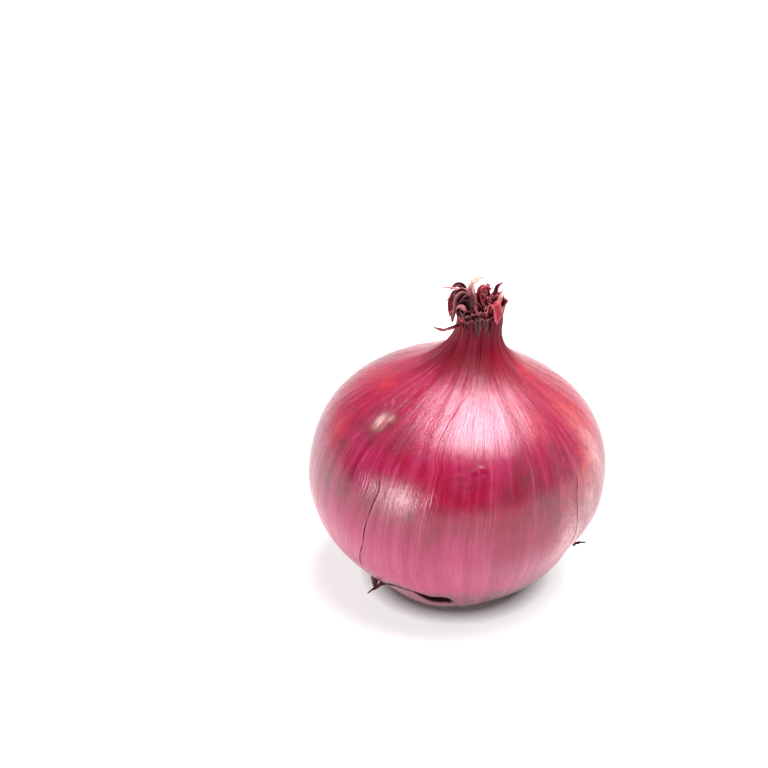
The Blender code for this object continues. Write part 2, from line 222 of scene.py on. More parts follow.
UNDER_CURVE = under_arc(240)[::-1]
UNDER_LENGTH = np.concatenate([[0], np.cumsum(np.hypot(*np.diff(UNDER_CURVE, axis=0).T))])
# Where the torn edge is along that outline, and how far its fine raggedness reaches
EDGE_ALONG = float(np.interp(SKIN_EDGE_RADIUS, UNDER_CURVE[:, 0], UNDER_LENGTH))
RAG_REACH = 0.0022


def lifted_edge(angle):
    """How far the torn edge stands off the skin under it."""
    return SKIN_LIFT * bell(wrapped(angle), LIFT_ANGLE, LIFT_WIDTH)


def shifted(radius, height, angle, edge_rag=0.0):
    """Points of the lower half moved along its outline with the torn edge, which they fade away from."""
    low = (radius > RIM_RADIUS) & (height < EQUATOR_HEIGHT - 1e-6)
    at = np.interp(radius, UNDER_CURVE[:, 0], UNDER_LENGTH)
    near = ease(radius, RIM_RADIUS, SKIN_EDGE_RADIUS) * (1 - ease(at, EDGE_ALONG, EDGE_ALONG + EDGE_FADE))
    along = at + edge_shift(angle) * near + edge_rag * bell(at, EDGE_ALONG, RAG_REACH)
    moved_radius = np.interp(along, UNDER_LENGTH, UNDER_CURVE[:, 0])
    moved_height = np.interp(along, UNDER_LENGTH, UNDER_CURVE[:, 1])
    return np.where(low, moved_radius, radius), np.where(low, moved_height, height), low


def swollen(radius, height, angle):
    """The same points where the body swells or sinks there, moved away from the middle of the bulb."""
    rise = height - EQUATOR_HEIGHT
    latitude = np.degrees(np.arctan2(rise, radius))
    out = 0.0
    for azimuth, level, round_reach, up_reach, size in SWELLS:
        across = np.degrees(wrapped(angle - math.radians(azimuth)))
        out = out + size * MM * bell(across, 0, round_reach) * bell(latitude, level, up_reach)
    share = out * ease(radius, SWELL_START, SWELL_FULL) / np.hypot(radius, rise)
    return radius * (1 + share), height + rise * share


def grown(radius, height, angle, edge_rag=0.0, lift=1.0):
    """Turned points moved to where they are on the onion, as the solids are."""
    raised = lifted_edge(angle) * lift * (radius > SKIN_EDGE_RADIUS - 1e-6)
    raised = raised * (1 - ease(radius, SKIN_EDGE_RADIUS, SKIN_EDGE_RADIUS + LIFT_REACH))
    radius, height, low = shifted(radius, height, angle, edge_rag)
    height = height - np.where(low, INWARD[1] * raised, 0)
    radius = radius + np.where(low, INWARD[0] * raised, 0)
    radius, height = swollen(radius, height, angle)
    radius = radius * (1 + lobes(angle, height))
    radius = radius + RIB_HEIGHT * ribs(angle) * ease(height, RIBS_START, RIBS_FULL)
    place = bent(radius, height, angle)
    place[..., 2] = np.maximum(0, place[..., 2] - TABLE_PRESS)
    return place


# Lines in the skin: points of azimuth in degrees and height in mm, how far round the bulb their
# pull on the grain reaches in degrees, half width and depth in mm, and the heights where they break
CRACKS = (
    dict(
        path=((-127.9, 50.0), (-125.4, 45.0), (-126.7, 40.0), (-128.2, 34.0), (-129.0, 29.0),
              (-132.6, 23.0), (-134.6, 19.0), (-137.2, 14.5)),
        reach=15, half=0.17, depth=0.34, breaks=(23.6, 28.4, 36.8),
    ),
    dict(
        path=((-39.0, 50.5), (-38.0, 47.0), (-39.4, 42.5), (-38.6, 36.0), (-37.4, 29.0),
              (-38.8, 24.5), (-40.8, 20.5), (-43.6, 17.0)),
        reach=15, half=0.12, depth=0.26, breaks=(33.0, 25.6),
    ),
    dict(
        path=((-109.6, 50.0), (-109.8, 46.5), (-111.2, 43.0), (-110.6, 39.5), (-111.0, 35.5)),
        reach=11, half=0.10, depth=0.10, breaks=(44.5, 38.4),
    ),
)
# The edge of a skin layer that shows from the neck down the front
LAYER_EDGE = dict(
    path=((-88.0, 69.0), (-95.0, 66.4), (-101.6, 63.8), (-105.4, 61.2), (-107.0, 58.2), (-106.8, 55.4),
          (-105.0, 52.4)),
    reach=34, half=0.22, depth=0.10,
)
LINES = (*CRACKS, LAYER_EDGE)
# How far from their lower and upper ends the lines fade, and the half height of a break
LINE_FOOT_FADE = 0.004
LINE_TOP_FADE = 0.006
BREAK_HALF = 0.0011
# How many columns the skin has all round, and how far the extra ones stand beside each line
PLAIN_COLUMNS = 336
OFFSETS_MM = (0.05, 0.11, 0.18, 0.27, 0.38, 0.54, 0.78, 1.15)


def path_angle(line, height):
    """The azimuth of a line in the skin at each height, and its ends as heights."""
    points = np.array(line["path"])[::-1]
    angle = np.interp(height, points[:, 1] * MM, np.radians(points[:, 0]))
    return angle, points[0, 1] * MM, points[-1, 1] * MM


def middle_angle(line):
    angles = [math.radians(angle) for angle, _ in line["path"]]
    return (min(angles) + max(angles)) / 2


def column_angles():
    """The angles of the skin's columns, which stand closer together along each line in the skin."""
    offsets = [sign * offset * MM / BULB_RADIUS for offset in OFFSETS_MM for sign in (-1, 1)] + [0.0]
    close = [middle_angle(line) + offset for line in LINES for offset in offsets]
    step = 2 * math.pi / PLAIN_COLUMNS
    plain = [-math.pi + step * k for k in range(PLAIN_COLUMNS)]
    clear = max(offsets) + 0.4 * step
    plain = [a for a in plain if all(abs(wrapped(a - middle_angle(line))) > clear for line in LINES)]
    return np.array(sorted(plain + close))


def smooth_noise(seed, x, y, z):
    """Noise between about -1 and 1 at each point of three arrays of one shape."""
    shift = Vector((seed * 17.3, seed * 5.1, seed * 9.7))
    flat = np.stack(np.broadcast_arrays(x, y, z), -1).reshape(-1, 3)
    values = [noise.noise(Vector(point) + shift) for point in flat.tolist()]
    return np.array(values).reshape(np.broadcast_shapes(np.shape(x), np.shape(y), np.shape(z)))


def ring_noise(seed, angle, scale, z=0):
    """The same noise round a circle, the finer the larger scale is."""
    return smooth_noise(seed, np.cos(angle) * scale, np.sin(angle) * scale, z)


def skin_rows():
    """Rows of the skin from the neck's top to the dimple: radius, height, depth under the skin, and kind."""
    neck_heights = TUFT_HEIGHT + (SHOULDER_HEIGHT - TUFT_HEIGHT) * np.linspace(0, 1, 30)[:-1] ** 0.85
    neck = np.stack([neck_radius(neck_heights), neck_heights], 1)
    upper = arc(
        (SHOULDER_RADIUS, SHOULDER_HEIGHT),
        (SHOULDER_RADIUS + SHOULDER_REACH, SHOULDER_HEIGHT - SHOULDER_REACH / SHOULDER_SLOPE),
        (BULB_RADIUS, EQUATOR_HEIGHT + UPPER_FULLNESS),
        (BULB_RADIUS, EQUATOR_HEIGHT),
        66,
    )
    under = under_arc(96)[1:]
    outer = under[under[:, 0] > SKIN_EDGE_RADIUS]
    inner = under[under[:, 0] <= SKIN_EDGE_RADIUS]
    edge = np.array([[SKIN_EDGE_RADIUS, np.interp(-SKIN_EDGE_RADIUS, -under[:, 0], under[:, 1])]])
    wall = ((RIM_RADIUS - 0.0022, 0), (DIMPLE_FLOOR_RADIUS + 0.0012, DIMPLE_DEPTH))
    dimple = arc((RIM_RADIUS, 0), *wall, (DIMPLE_FLOOR_RADIUS, DIMPLE_DEPTH), 9)
    pocket = outer[outer[:, 0] < SKIN_EDGE_RADIUS + POCKET_DEPTH]
    into = (pocket[:, 0] - SKIN_EDGE_RADIUS) / POCKET_DEPTH
    floor = (inner[:, 0] - RIM_RADIUS) / (SKIN_EDGE_RADIUS - RIM_RADIUS)
    parts = [
        (np.array([[0.0012, TUFT_HEIGHT], [0.0035, TUFT_HEIGHT]]), 0, "top"),
        (neck, 0, "skin"),
        (upper, 0, "skin"),
        (outer, 0, "skin"),
        (edge, 0, "edge"),
        (edge, SKIN_THICKNESS, "edge"),
        (pocket[::-1], SKIN_THICKNESS + 0.2 * SKIN_STEP * into[::-1], "flap"),
        (pocket, SKIN_STEP * (1 - 0.45 * into), "inner"),
        (edge, SKIN_STEP, "inner"),
        (inner, SKIN_STEP * floor, "inner"),
        (dimple[1:], 0, "dimple"),
        (np.array([[0.004, DIMPLE_DEPTH], [0.0012, DIMPLE_DEPTH]]), 0, "dimple"),
    ]
    radius = np.concatenate([points[:, 0] for points, _, _ in parts])
    height = np.concatenate([points[:, 1] for points, _, _ in parts])
    depth = np.concatenate([np.broadcast_to(deep, len(points)) for points, deep, _ in parts])
    kind = np.array([name for points, _, name in parts for _ in range(len(points))])
    return radius, height, depth, kind


def normals_of(place):
    """Unit normals of a closed ring grid of points, pointing out of the body."""
    down = np.gradient(place, axis=0)
    around = np.roll(place, -1, axis=1) - np.roll(place, 1, axis=1)
    normal = np.cross(around, -down)
    return unit(np.cross(around, -down))


def line_field(line, angle, height, radius):
    """How far each point is from a line in the skin, in metres round the bulb, and how full it is there."""
    at, low, high = path_angle(line, height)
    full = ease(height, low, low + LINE_FOOT_FADE) * (1 - ease(height, high - LINE_TOP_FADE, high))
    for at_height in line.get("breaks", ()):
        full = full * (1 - 0.75 * bell(height, at_height * MM, BREAK_HALF))
    return wrapped(angle - at) * radius, full


def placed(name, data):
    """A new object of the scene, with the data given."""
    obj = bpy.data.objects.new(name, data)
    bpy.context.scene.collection.objects.link(obj)
    return obj


def make_mesh(name, points, faces):
    mesh = bpy.data.meshes.new(name)
    mesh.from_pydata(points, [], faces)
    mesh.update()
    mesh.shade_smooth()
    return placed(name, mesh)


def give_values(obj, name, values):
    """Stores rows of one number, a vector or a colour, one row for each vertex."""
    kinds = {1: ("FLOAT", "value"), 3: ("FLOAT_VECTOR", "vector"), 4: ("FLOAT_COLOR", "color")}
    kind, field = kinds[values.shape[1]]
    attribute = obj.data.attributes.new(name, kind, "POINT")
    attribute.data.foreach_set(field, np.asarray(values, np.float32).reshape(-1))


def ring_faces(rows, columns, closed=True):
    """Quads of a grid of rows, whose columns close in a ring."""
    row = np.arange(rows - 1)[:, None] * columns
    last = columns if closed else columns - 1
    column = np.arange(last)[None]
    following = (column + 1) % columns
    return np.stack(
        [row + column, row + columns + column, row + columns + following, row + following], -1
    ).reshape(-1, 4).tolist()


# Patches of colour, some of them painted light: azimuth in degrees, height in mm, and half sizes along both,
# in degrees and mm
ORANGE = (
    (-171, 61.6, 10, 2.0, 0.7), (-160, 50, 7, 3.6, 0.5), (-14, 57, 16, 8, 0.9), (-26, 47, 10, 9, 0.9),
    (-38, 43, 10, 6, 0.5), (25, 55, 26, 9, 0.8), (110, 50, 30, 10, 0.6), (-8, 66, 22, 3, 0.7),
    (175, 60, 16, 3, 0.4), (60, 40, 18, 9, 0.5), (-48, 60, 9, 4, 0.5),
)
BROWN = (
    (-143, 57, 13, 4.4, 1.25), (-127, 56.0, 8, 3.2, 1.0), (-152, 49.5, 7, 3, 0.8), (-55, 44.6, 5, 3.4, 1.0),
    (-64, 51, 8, 4.5, 0.8), (-72, 48, 5, 3, 0.6), (-46, 52, 6, 5, 0.6), (-92, 50.6, 7, 1.6, 0.55),
    (-103, 71, 26, 3, 0.8), (40, 60, 14, 5, 0.6), (140, 56, 16, 6, 0.6),
    (95, 36, 12, 7, 0.4), (-100, 22, 7, 5, 0.2), (-70, 24, 8, 5, 0.25), (-150, 38, 8, 6, 0.3),
)
CRIMSON = (
    (-121, 53.6, 5, 2.0, 1.0), (-166, 57.6, 5, 1.8, 1.0), (-160, 55.5, 7, 2.2, 0.6), (-92, 47, 24, 5, 0.8),
    (-76, 42, 26, 6, 0.9), (-60, 34, 16, 6, 0.6), (-172, 52, 9, 4, 0.7), (70, 58, 18, 6, 0.7),
    (150, 46, 18, 8, 0.6), (-104, 50, 9, 4, 0.8), (-150, 63, 12, 2.4, 0.5), (-42, 72, 22, 5, 0.6),
)
# Pale patches, mostly painted light: the first two are a small painted highlight high on the left, the one at
# -116 a faint painted highlight of the side softbox, and the last three a painted reflection of the white
# floor and surroundings low on the right. The one at 100 lies at the back
PALE_AND_PAINTED_HIGHLIGHTS = (
    (-144, 57.4, 2.9, 1.3, 0.85), (-140.5, 58.6, 2.0, 0.6, 0.4), (100, 57, 6, 2.2, 0.6),
    (-116, 44, 8, 4, 0.2), (-40, 29, 8, 9, 0.55), (-31, 38, 5, 7, 0.35), (-20, 49, 5, 8, 0.45),
)


def spots(table, angle, height):
    """The strength of a group of patches at each point, from 0 to about 1."""
    total = np.zeros(np.broadcast_shapes(angle.shape, height.shape))
    for azimuth, level, wide, tall, strength in table:
        across = wrapped(angle - math.radians(azimuth)) / math.radians(wide)
        rise = (height - level * MM) / (tall * MM)
        total = np.maximum(total, strength * np.exp(-(across ** 2) - rise ** 2))
    return total


def patch_values(angle, height):
    return np.stack([spots(table, angle, height) for table in (ORANGE, BROWN, CRIMSON, PALE_AND_PAINTED_HIGHLIGHTS)], -1)


# Heights of the ridges that the fleshy layers make, of the neck's fine ribs and of the creases
RIDGE_HEIGHT = 0.00040
NECK_RIB_HEIGHT = 0.00022
CREASE_HEIGHT = 0.00045


def undulation(angle, height):
    """The low ridges of the fleshy layers, felt through the skin, and the fine ribs of the neck."""
    chance = random.Random(3)
    total = 0
    for waves in range(13, 46, 2):
        phase = chance.uniform(0, 2 * math.pi)
        drift = chance.uniform(-25, 25)
        total = total + chance.uniform(0.4, 1) / waves * np.cos(waves * angle + phase + drift * height)
    low = RIDGE_HEIGHT * total * ease(height, 0.004, 0.02)
    neck = 0
    for waves in range(31, 70, 6):
        neck = neck + np.cos(waves * angle + chance.uniform(0, 2 * math.pi)) / 7
    return low + NECK_RIB_HEIGHT * neck * ease(height, 0.062, 0.073)


# Small creases across the grain: azimuth in degrees, height in mm, half length in degrees, half width
# in mm, and tilt
CREASES = (
    (-96.5, 51.0, 2.6, 0.45, 8), (-92.5, 51.6, 2.2, 0.35, -6), (-87.0, 52.6, 3.0, 0.5, 14),
    (-83.5, 53.3, 2.0, 0.4, -10), (-90.0, 49.6, 2.4, 0.35, 4), (-63, 41, 2.2, 0.4, 12),
    (-140, 57.0, 3, 0.5, 20), (-150, 60.0, 4, 0.5, -14), (40, 50, 3, 0.5, 10), (120, 44, 4, 0.5, -8),
    (160, 30, 3, 0.5, 9),
)


def creases(angle, height):
    total = 0
    for azimuth, level, half_length, half_width, tilt in CREASES:
        across = wrapped(angle - math.radians(azimuth)) / math.radians(half_length)
        rise = (height - level * MM) / (half_width * MM) - across * half_length * math.radians(tilt) * 1.6
        total = total + np.exp(-(across ** 2)) * rise * np.exp(-(rise ** 2))
    return CREASE_HEIGHT * total


def build_skin(materials):
    radius, height, depth, kind = skin_rows()
    columns = column_angles()
    rows, count = len(radius), len(columns)
    wide, high = radius[:, None], height[:, None]
    inner = (kind == "inner")[:, None]
    is_skin = np.isin(kind, ("skin", "edge", "flap"))[:, None]
    angle = np.repeat(columns[None], rows, 0)
    for line in LINES:
        at, _, _ = path_angle(line, high)
        middle = middle_angle(line)
        share = ease(np.abs(wrapped(angle - middle)), 0, math.radians(line["reach"]))
        angle = angle + (at - middle) * (1 - share)
    rag = 0.00055 * ring_noise(5, columns, 13) + 0.0003 * ring_noise(6, columns, 34)
    place = grown(wide, high, angle, edge_rag=np.where(inner, 0, rag[None]), lift=LIP_LIFT * ~inner)
    bare = grown(wide, high, angle, lift=0.0)
    normal = normals_of(bare)
    out_of_body = (normal * (bare - np.array([0, 0, EQUATOR_HEIGHT]))).sum(-1, keepdims=True)
    turned = np.isin(kind, ("edge", "flap"))[:, None, None] & (out_of_body < 0)
    normal = np.where(turned, -normal, normal)
    relief = undulation(angle, high) * (is_skin | inner) * ease(high, 0.0006, 0.004)
    relief = relief + creases(angle, high) * is_skin
    marks = np.zeros((rows, count, 4))
    for line in CRACKS:
        away, full = line_field(line, angle, high, wide)
        half, deep = line["half"] * MM, line["depth"]
        groove = bell(away, 0, half) * full * is_skin
        lips = bell(np.abs(away), 2.1 * half, 1.1 * half) * full ** 2 * is_skin
        relief = relief - deep * MM * groove + 0.32 * deep * MM * lips
        marks[..., 0] = np.maximum(marks[..., 0], groove * (0.55 + 1.35 * deep))
        marks[..., 3] = np.maximum(marks[..., 3], lips * deep * 2)
    away, full = line_field(LAYER_EDGE, angle, high, wide)
    half = LAYER_EDGE["half"] * MM
    step = ease(away, -half, half) * np.exp(-np.maximum(away, 0) / 0.006) * full * is_skin
    relief = relief + LAYER_EDGE["depth"] * MM * step
    marks[..., 1] = bell(away, 0, half) * full * is_skin
    marks[..., 2] = inner
    rim = (1 - np.clip((wide - SKIN_EDGE_RADIUS) / 0.004, 0, 1)) * (is_skin & (high < EQUATOR_HEIGHT))
    inward = np.maximum(SKIN_EDGE_RADIUS - wide, 0)
    hollow = gap_share(angle) * inner
    reach = np.maximum(GAP_REACH * hollow ** 0.6, 1e-5)
    depth = depth[:, None] + GAP_DEPTH * hollow * (1 - ease(inward, 0.3 * reach, 1.1 * reach))
    # Painted shade: near black over the gap under the torn edge, fading out where the gap closes
    painted_gap_shade = (hollow > 0.04) * (1 - ease(inward, 0.7 * reach, 1.05 * reach))
    place = place + normal * (relief - depth)[..., None]
    place[..., 2] = np.maximum(place[..., 2], 0)
    top, bottom, first = rows * count, rows * count + 1, (rows - 1) * count
    faces = ring_faces(rows, count)
    faces += [(top, k, (k + 1) % count) for k in range(count)]
    faces += [(bottom, first + (k + 1) % count, first + k) for k in range(count)]
    caps = np.array([place[0].mean(0), place[-1].mean(0)])
    obj = make_mesh("bulb_skin", np.concatenate([place.reshape(-1, 3), caps]), faces)
    along = np.concatenate([[0], np.cumsum(np.hypot(np.diff(radius), np.diff(height)))]) / GRAIN_LENGTH
    values = {
        "grow": stacked(np.cos(columns)[None], np.sin(columns)[None], along[:, None]),
        "patches": patch_values(angle, high),
        "marks": marks,
        "extra": stacked(shifted(wide, high, angle)[1] / 0.08, rim, painted_gap_shade, np.ones((rows, count))),
    }
    for name, grid in values.items():
        flat = grid.reshape(-1, grid.shape[-1])
        give_values(obj, name, np.concatenate([flat, flat[:1], flat[-1:]]))
    finish_piece(obj, materials["skin"], "bulb")


def finish_piece(obj, material, node):
    """Gives a piece its material and ties it to the solid that it stands for."""
    obj.data.materials.append(material)
    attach(obj, "root")
    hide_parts(node)


class Shader:
    """The node tree of a material or of the world, with a short call for each kind of node."""

    def __init__(self, owner):
        owner.use_nodes = True
        self.owner = owner
        self.nodes, self.links = owner.node_tree.nodes, owner.node_tree.links

    def put(self, socket, value):
        if isinstance(value, bpy.types.NodeSocket):
            self.links.new(value, socket)
        else:
            socket.default_value = (*value, 1) if socket.type == "RGBA" else value

    def fill(self, node, inputs):
        """Gives a node its inputs, by number or name, and returns its outputs."""
        for key, value in inputs.items():
            self.put(node.inputs[key], value)
        return node.outputs

    def attribute(self, name):
        node = self.nodes.new("ShaderNodeAttribute")
        node.attribute_name = name
        return node.outputs

    def split(self, colour):
        return self.fill(self.nodes.new("ShaderNodeSeparateColor"), {0: colour})

    def math(self, operation, first, second=0.0, clamp=False):
        node = self.nodes.new("ShaderNodeMath")
        node.operation = operation
        node.use_clamp = clamp
        return self.fill(node, {0: first, 1: second})[0]

    def plus(self, first, second):
        return self.math("ADD", first, second)

    def times(self, first, second, clamp=False):
        return self.math("MULTIPLY", first, second, clamp)

    def noise(self, vector, across, along, detail, roughness=0.55, distortion=0.0):
        """Noise on a vector whose first two parts are scaled by across, and the last by along."""
        node = self.nodes.new("ShaderNodeVectorMath")
        node.operation = "MULTIPLY"
        vector = self.fill(node, {0: vector, 1: (across, across, along)})[0]
        looks = {"Scale": 1.0, "Detail": detail, "Roughness": roughness, "Distortion": distortion}
        return self.fill(self.nodes.new("ShaderNodeTexNoise"), {"Vector": vector, **looks})["Fac"]

    def between(self, value, low, high, bottom=0.0, top=1.0, smooth=False):
        """value mapped from low..high to bottom..top, and held there."""
        node = self.nodes.new("ShaderNodeMapRange")
        node.interpolation_type = "SMOOTHSTEP" if smooth else "LINEAR"
        ends = {"From Min": low, "From Max": high, "To Min": bottom, "To Max": top}
        return self.fill(node, {"Value": value, **ends})["Result"]

    def mix(self, share, first, second):
        node = self.nodes.new("ShaderNodeMix")
        node.data_type = "RGBA"
        return self.fill(node, {0: share, 6: first, 7: second})[2]

    def ramp(self, value, *stops):
        """A colour for each value, eased between stops of a position and a 0 to 255 colour."""
        node = self.nodes.new("ShaderNodeValToRGB")
        node.color_ramp.interpolation = "EASE"
        elements = node.color_ramp.elements
        elements.remove(elements[-1])
        for number, (position, *colour) in enumerate(stops):
            element = elements.new(position) if number else elements[0]
            element.position = position
            element.color = (*srgb(*colour), 1)
        return self.fill(node, {0: value})[0]

    def bump(self, height, distance):
        node = self.nodes.new("ShaderNodeBump")
        return self.fill(node, {"Strength": 1.0, "Distance": distance, "Height": height})["Normal"]

    def finish(self, **values):
        """Sets inputs of the main shader, named with underscores for spaces, and returns the material."""
        self.fill(self.nodes["Principled BSDF"], {name.replace("_", " "): values[name] for name in values})
        return self.owner


def skin_material():
    """Papery red skin: colour down the bulb, patches, stripes, veins, and darker lines in the cracks, with
    painted shade low on the bulb and in the gap under the torn edge, and painted highlights among the pale
    patches.
    """
    shader = Shader(bpy.data.materials.new("onion_skin"))
    between, times, noise_of = shader.between, shader.times, shader.noise
    grow = shader.attribute("grow")["Vector"]
    patches, marks = shader.attribute("patches"), shader.attribute("marks")
    orange, brown, crimson = shader.split(patches["Color"])
    crack, layer, inner = shader.split(marks["Color"])
    level, rim, gap = shader.split(shader.attribute("extra")["Color"])
    wide = noise_of(grow, 6.0, 0.9, 3.0, 0.6)
    stripes = noise_of(grow, 17.0, 0.9, 4.0, 0.6)
    fine = noise_of(grow, 58.0, 2.4, 4.0, 0.65)
    hair = noise_of(grow, 150.0, 4.0, 2.0, 0.5)
    blotch = noise_of(grow, 3.2, 3.0, 5.0, 0.62, 0.6)
    speck = noise_of(grow, 34.0, 26.0, 5.0, 0.7)
    mottle = noise_of(grow, 18.0, 12.0, 7.0, 0.74, 0.4)
    scuff = noise_of(grow, 70.0, 9.0, 5.0, 0.75, 0.3)
    ragged = between(noise_of(grow, 19.0, 13.0, 6.0, 0.72), 0.32, 0.66, 0.15, 1.45)
    off_neck = between(level, 0.78, 0.90, 1.0, 0.15)
    upper = between(level, 0.40, 0.56, 0.25, 1.0)
    on_neck = between(level, 0.82, 0.92)
    gap_shade_share = between(gap, 0.05, 0.45)
    flush = times(between(mottle, 0.46, 0.34, 0.0, 0.5), upper)
    # The lowest two stops, round the root end by the table, are darkened as painted shade under the bulb
    colour = shader.ramp(
        shader.plus(level, between(blotch, 0.2, 0.8, -0.05, 0.05)),
        (0.00, 60, 16, 24), (0.12, 86, 6, 32), (0.22, 156, 24, 76), (0.38, 148, 8, 66), (0.52, 110, 0, 36),
        (0.66, 136, 4, 54), (0.80, 146, 8, 54), (0.87, 118, 2, 24), (0.96, 104, 4, 20),
    )
    # What lies over that in turn: its strength at each place, and its colour
    for share, tint in (
        (times(between(stripes, 0.42, 0.68, 0.0, 0.30), off_neck), (206, 84, 132)),
        (between(wide, 0.52, 0.3, 0.0, 0.35), (150, 14, 58)),
        (times(times(crimson, ragged), 0.88, clamp=True), (142, 0, 34)),
        (times(times(orange, ragged), 0.8, clamp=True), (182, 40, 46)),
        (times(times(brown, ragged), 0.74, clamp=True), (94, 42, 46)),
        # pale patches, most of them painted highlights and reflections
        (times(times(patches["Alpha"], ragged), 0.9, clamp=True), (236, 196, 186)),
        (between(fine, 0.52, 0.72, 0.0, 0.26), (130, 10, 46)),
        (times(between(fine, 0.44, 0.3, 0.0, 0.11), off_neck), (232, 150, 172)),
        (between(hair, 0.6, 0.78, 0.0, 0.3), (108, 12, 40)),
        (times(between(mottle, 0.51, 0.68, 0.0, 0.5), upper), (70, 20, 30)),
        (times(flush, between(orange, 0.05, 0.5, 0.06, 1.0)), (206, 62, 56)),
        (times(between(scuff, 0.66, 0.78, 0.0, 0.30), off_neck), (226, 150, 166)),
        (between(speck, 0.66, 0.8, 0.0, 0.35), (96, 30, 40)),
        (times(inner, 0.6), (132, 62, 78)),
        (times(shader.math("POWER", between(rim, 0.35, 1.0), 2.0), 0.8), (96, 14, 26)),
        # painted shade: the gap under the torn edge near black, whose reflections are also tinted to black
        # below
        (gap_shade_share, (16, 0, 2)),
        (times(marks["Alpha"], 0.35, clamp=True), (226, 140, 150)),
        (times(layer, 0.55, clamp=True), (120, 14, 44)),
        (times(crack, 1.0, clamp=True), (54, 4, 16)),
    ):
        colour = shader.mix(share, colour, srgb(*tint))
    relief = shader.plus(shader.plus(times(fine, 0.6), times(hair, 0.4)), times(speck, 0.25))
    roughness = shader.plus(between(fine, 0.3, 0.7, 0.20, 0.30), times(gap_shade_share, 0.6))
    gloss_tint = shader.mix(on_neck, (0.95, 0.80, 0.89), (0.60, 0.15, 0.21))
    return shader.finish(
        Base_Color=colour,
        Roughness=shader.plus(roughness, times(on_neck, 0.22)),
        Specular_IOR_Level=0.8,
        Specular_Tint=shader.mix(gap_shade_share, gloss_tint, (0.0, 0.0, 0.0)),
        Normal=shader.bump(relief, 0.00018),
    )


def sheet(middle, thickness, ring=False):
    """Points and faces of a thin closed sheet round a grid of points, whose rows may close in rings."""
    rows, columns = middle.shape[:2]
    if ring:
        across = np.roll(middle, -1, axis=1) - np.roll(middle, 1, axis=1)
    else:
        across = np.gradient(middle, axis=1)
    half = unit(np.cross(across, np.gradient(middle, axis=0))) * thickness / 2
    points = np.concatenate([(middle + half).reshape(-1, 3), (middle - half).reshape(-1, 3)])
    count = rows * columns
    faces = both_sides(ring_faces(rows, columns, ring), count)
    first_row = list(range(columns))
    last_row = [(rows - 1) * columns + column for column in range(columns)]
    if ring:
        borders = [first_row + first_row[:1], (last_row + last_row[:1])[::-1]]
    else:
        right = [row * columns + columns - 1 for row in range(1, rows)]
        left = [row * columns for row in range(rows - 2, -1, -1)]
        borders = [first_row + right + last_row[-2::-1] + left]
    for border in borders:
        faces += [(a, b, b + count, a + count) for a, b in zip(border, border[1:])]
    return points, faces


def both_sides(faces, count):
    """Faces of a grid of count points, with the faces of a second one behind it, which look the other way."""
    return faces + [tuple(count + corner for corner in reversed(face)) for face in faces]


class Gathered:
    """Sheets and threads of one material, gathered into one mesh with their values."""

    def __init__(self):
        self.points, self.faces, self.values = [], [], {}
        self.count = 0

    def add(self, points, faces, **values):
        self.points.append(points)
        self.faces += [tuple(corner + self.count for corner in face) for face in faces]
        self.count += len(points)
        for name, value in values.items():
            self.values.setdefault(name, []).append(value.reshape(len(points), -1))

    def add_sheet(self, middle, thickness, ring=False, **values):
        """Adds a sheet round a grid of points, with values of the grid's shape for both its faces."""
        count = middle.shape[0] * middle.shape[1]
        doubled = {name: np.tile(value.reshape(count, -1), (2, 1)) for name, value in values.items()}
        self.add(*sheet(middle, thickness, ring), **doubled)

    def build(self, name, material, node):
        obj = make_mesh(name, np.concatenate(self.points), self.faces)
        shell = bmesh.new()
        shell.from_mesh(obj.data)
        bmesh.ops.recalc_face_normals(shell, faces=shell.faces)
        shell.to_mesh(obj.data)
        shell.free()
        for field, values in self.values.items():
            give_values(obj, field, np.concatenate(values))
        finish_piece(obj, material, node)


def tears(angle, seed, count, widest, deepest):
    """Sharp notches in a sheath's rim, as depths below it."""
    chance = random.Random(seed)
    depth = np.zeros_like(angle)
    for _ in range(count):
        at = chance.uniform(-math.pi, math.pi)
        half = math.radians(chance.uniform(0.3, 1) * widest)
        drop = chance.uniform(0.3, 1) * deepest
        depth = np.maximum(depth, drop * np.maximum(0, 1 - np.abs(wrapped(angle - at)) / half) ** 0.8)
    return depth


# The dry sheaths, from the outside in: radius, lowest point, rim height, roughness of the rim,
# deepest tear, lean outward and curl of the rim in degrees, tone and seed. Lengths are in mm
SHEATHS = (
    (5.25, 77.5, 83.9, 1.0, 1.8, 4, 95, 0.22, 12),
    (4.45, 78.0, 85.2, 1.6, 3.4, -4, 40, 0.30, 13),
    (3.55, 78.5, 84.6, 1.9, 3.6, 6, 70, 0.16, 14),
    (2.55, 79.0, 84.0, 1.8, 3.0, -8, 50, 0.26, 15),
    (1.50, 79.0, 82.6, 1.2, 2.4, 5, 60, 0.10, 16),
)
SHEATH_COLUMNS = 216
SHEATH_ROWS = 22
# How much higher the rims stand on the right, and how much lower at the front, in mm
RIGHT_RISE = 1.6
FRONT_DROP = 1.2


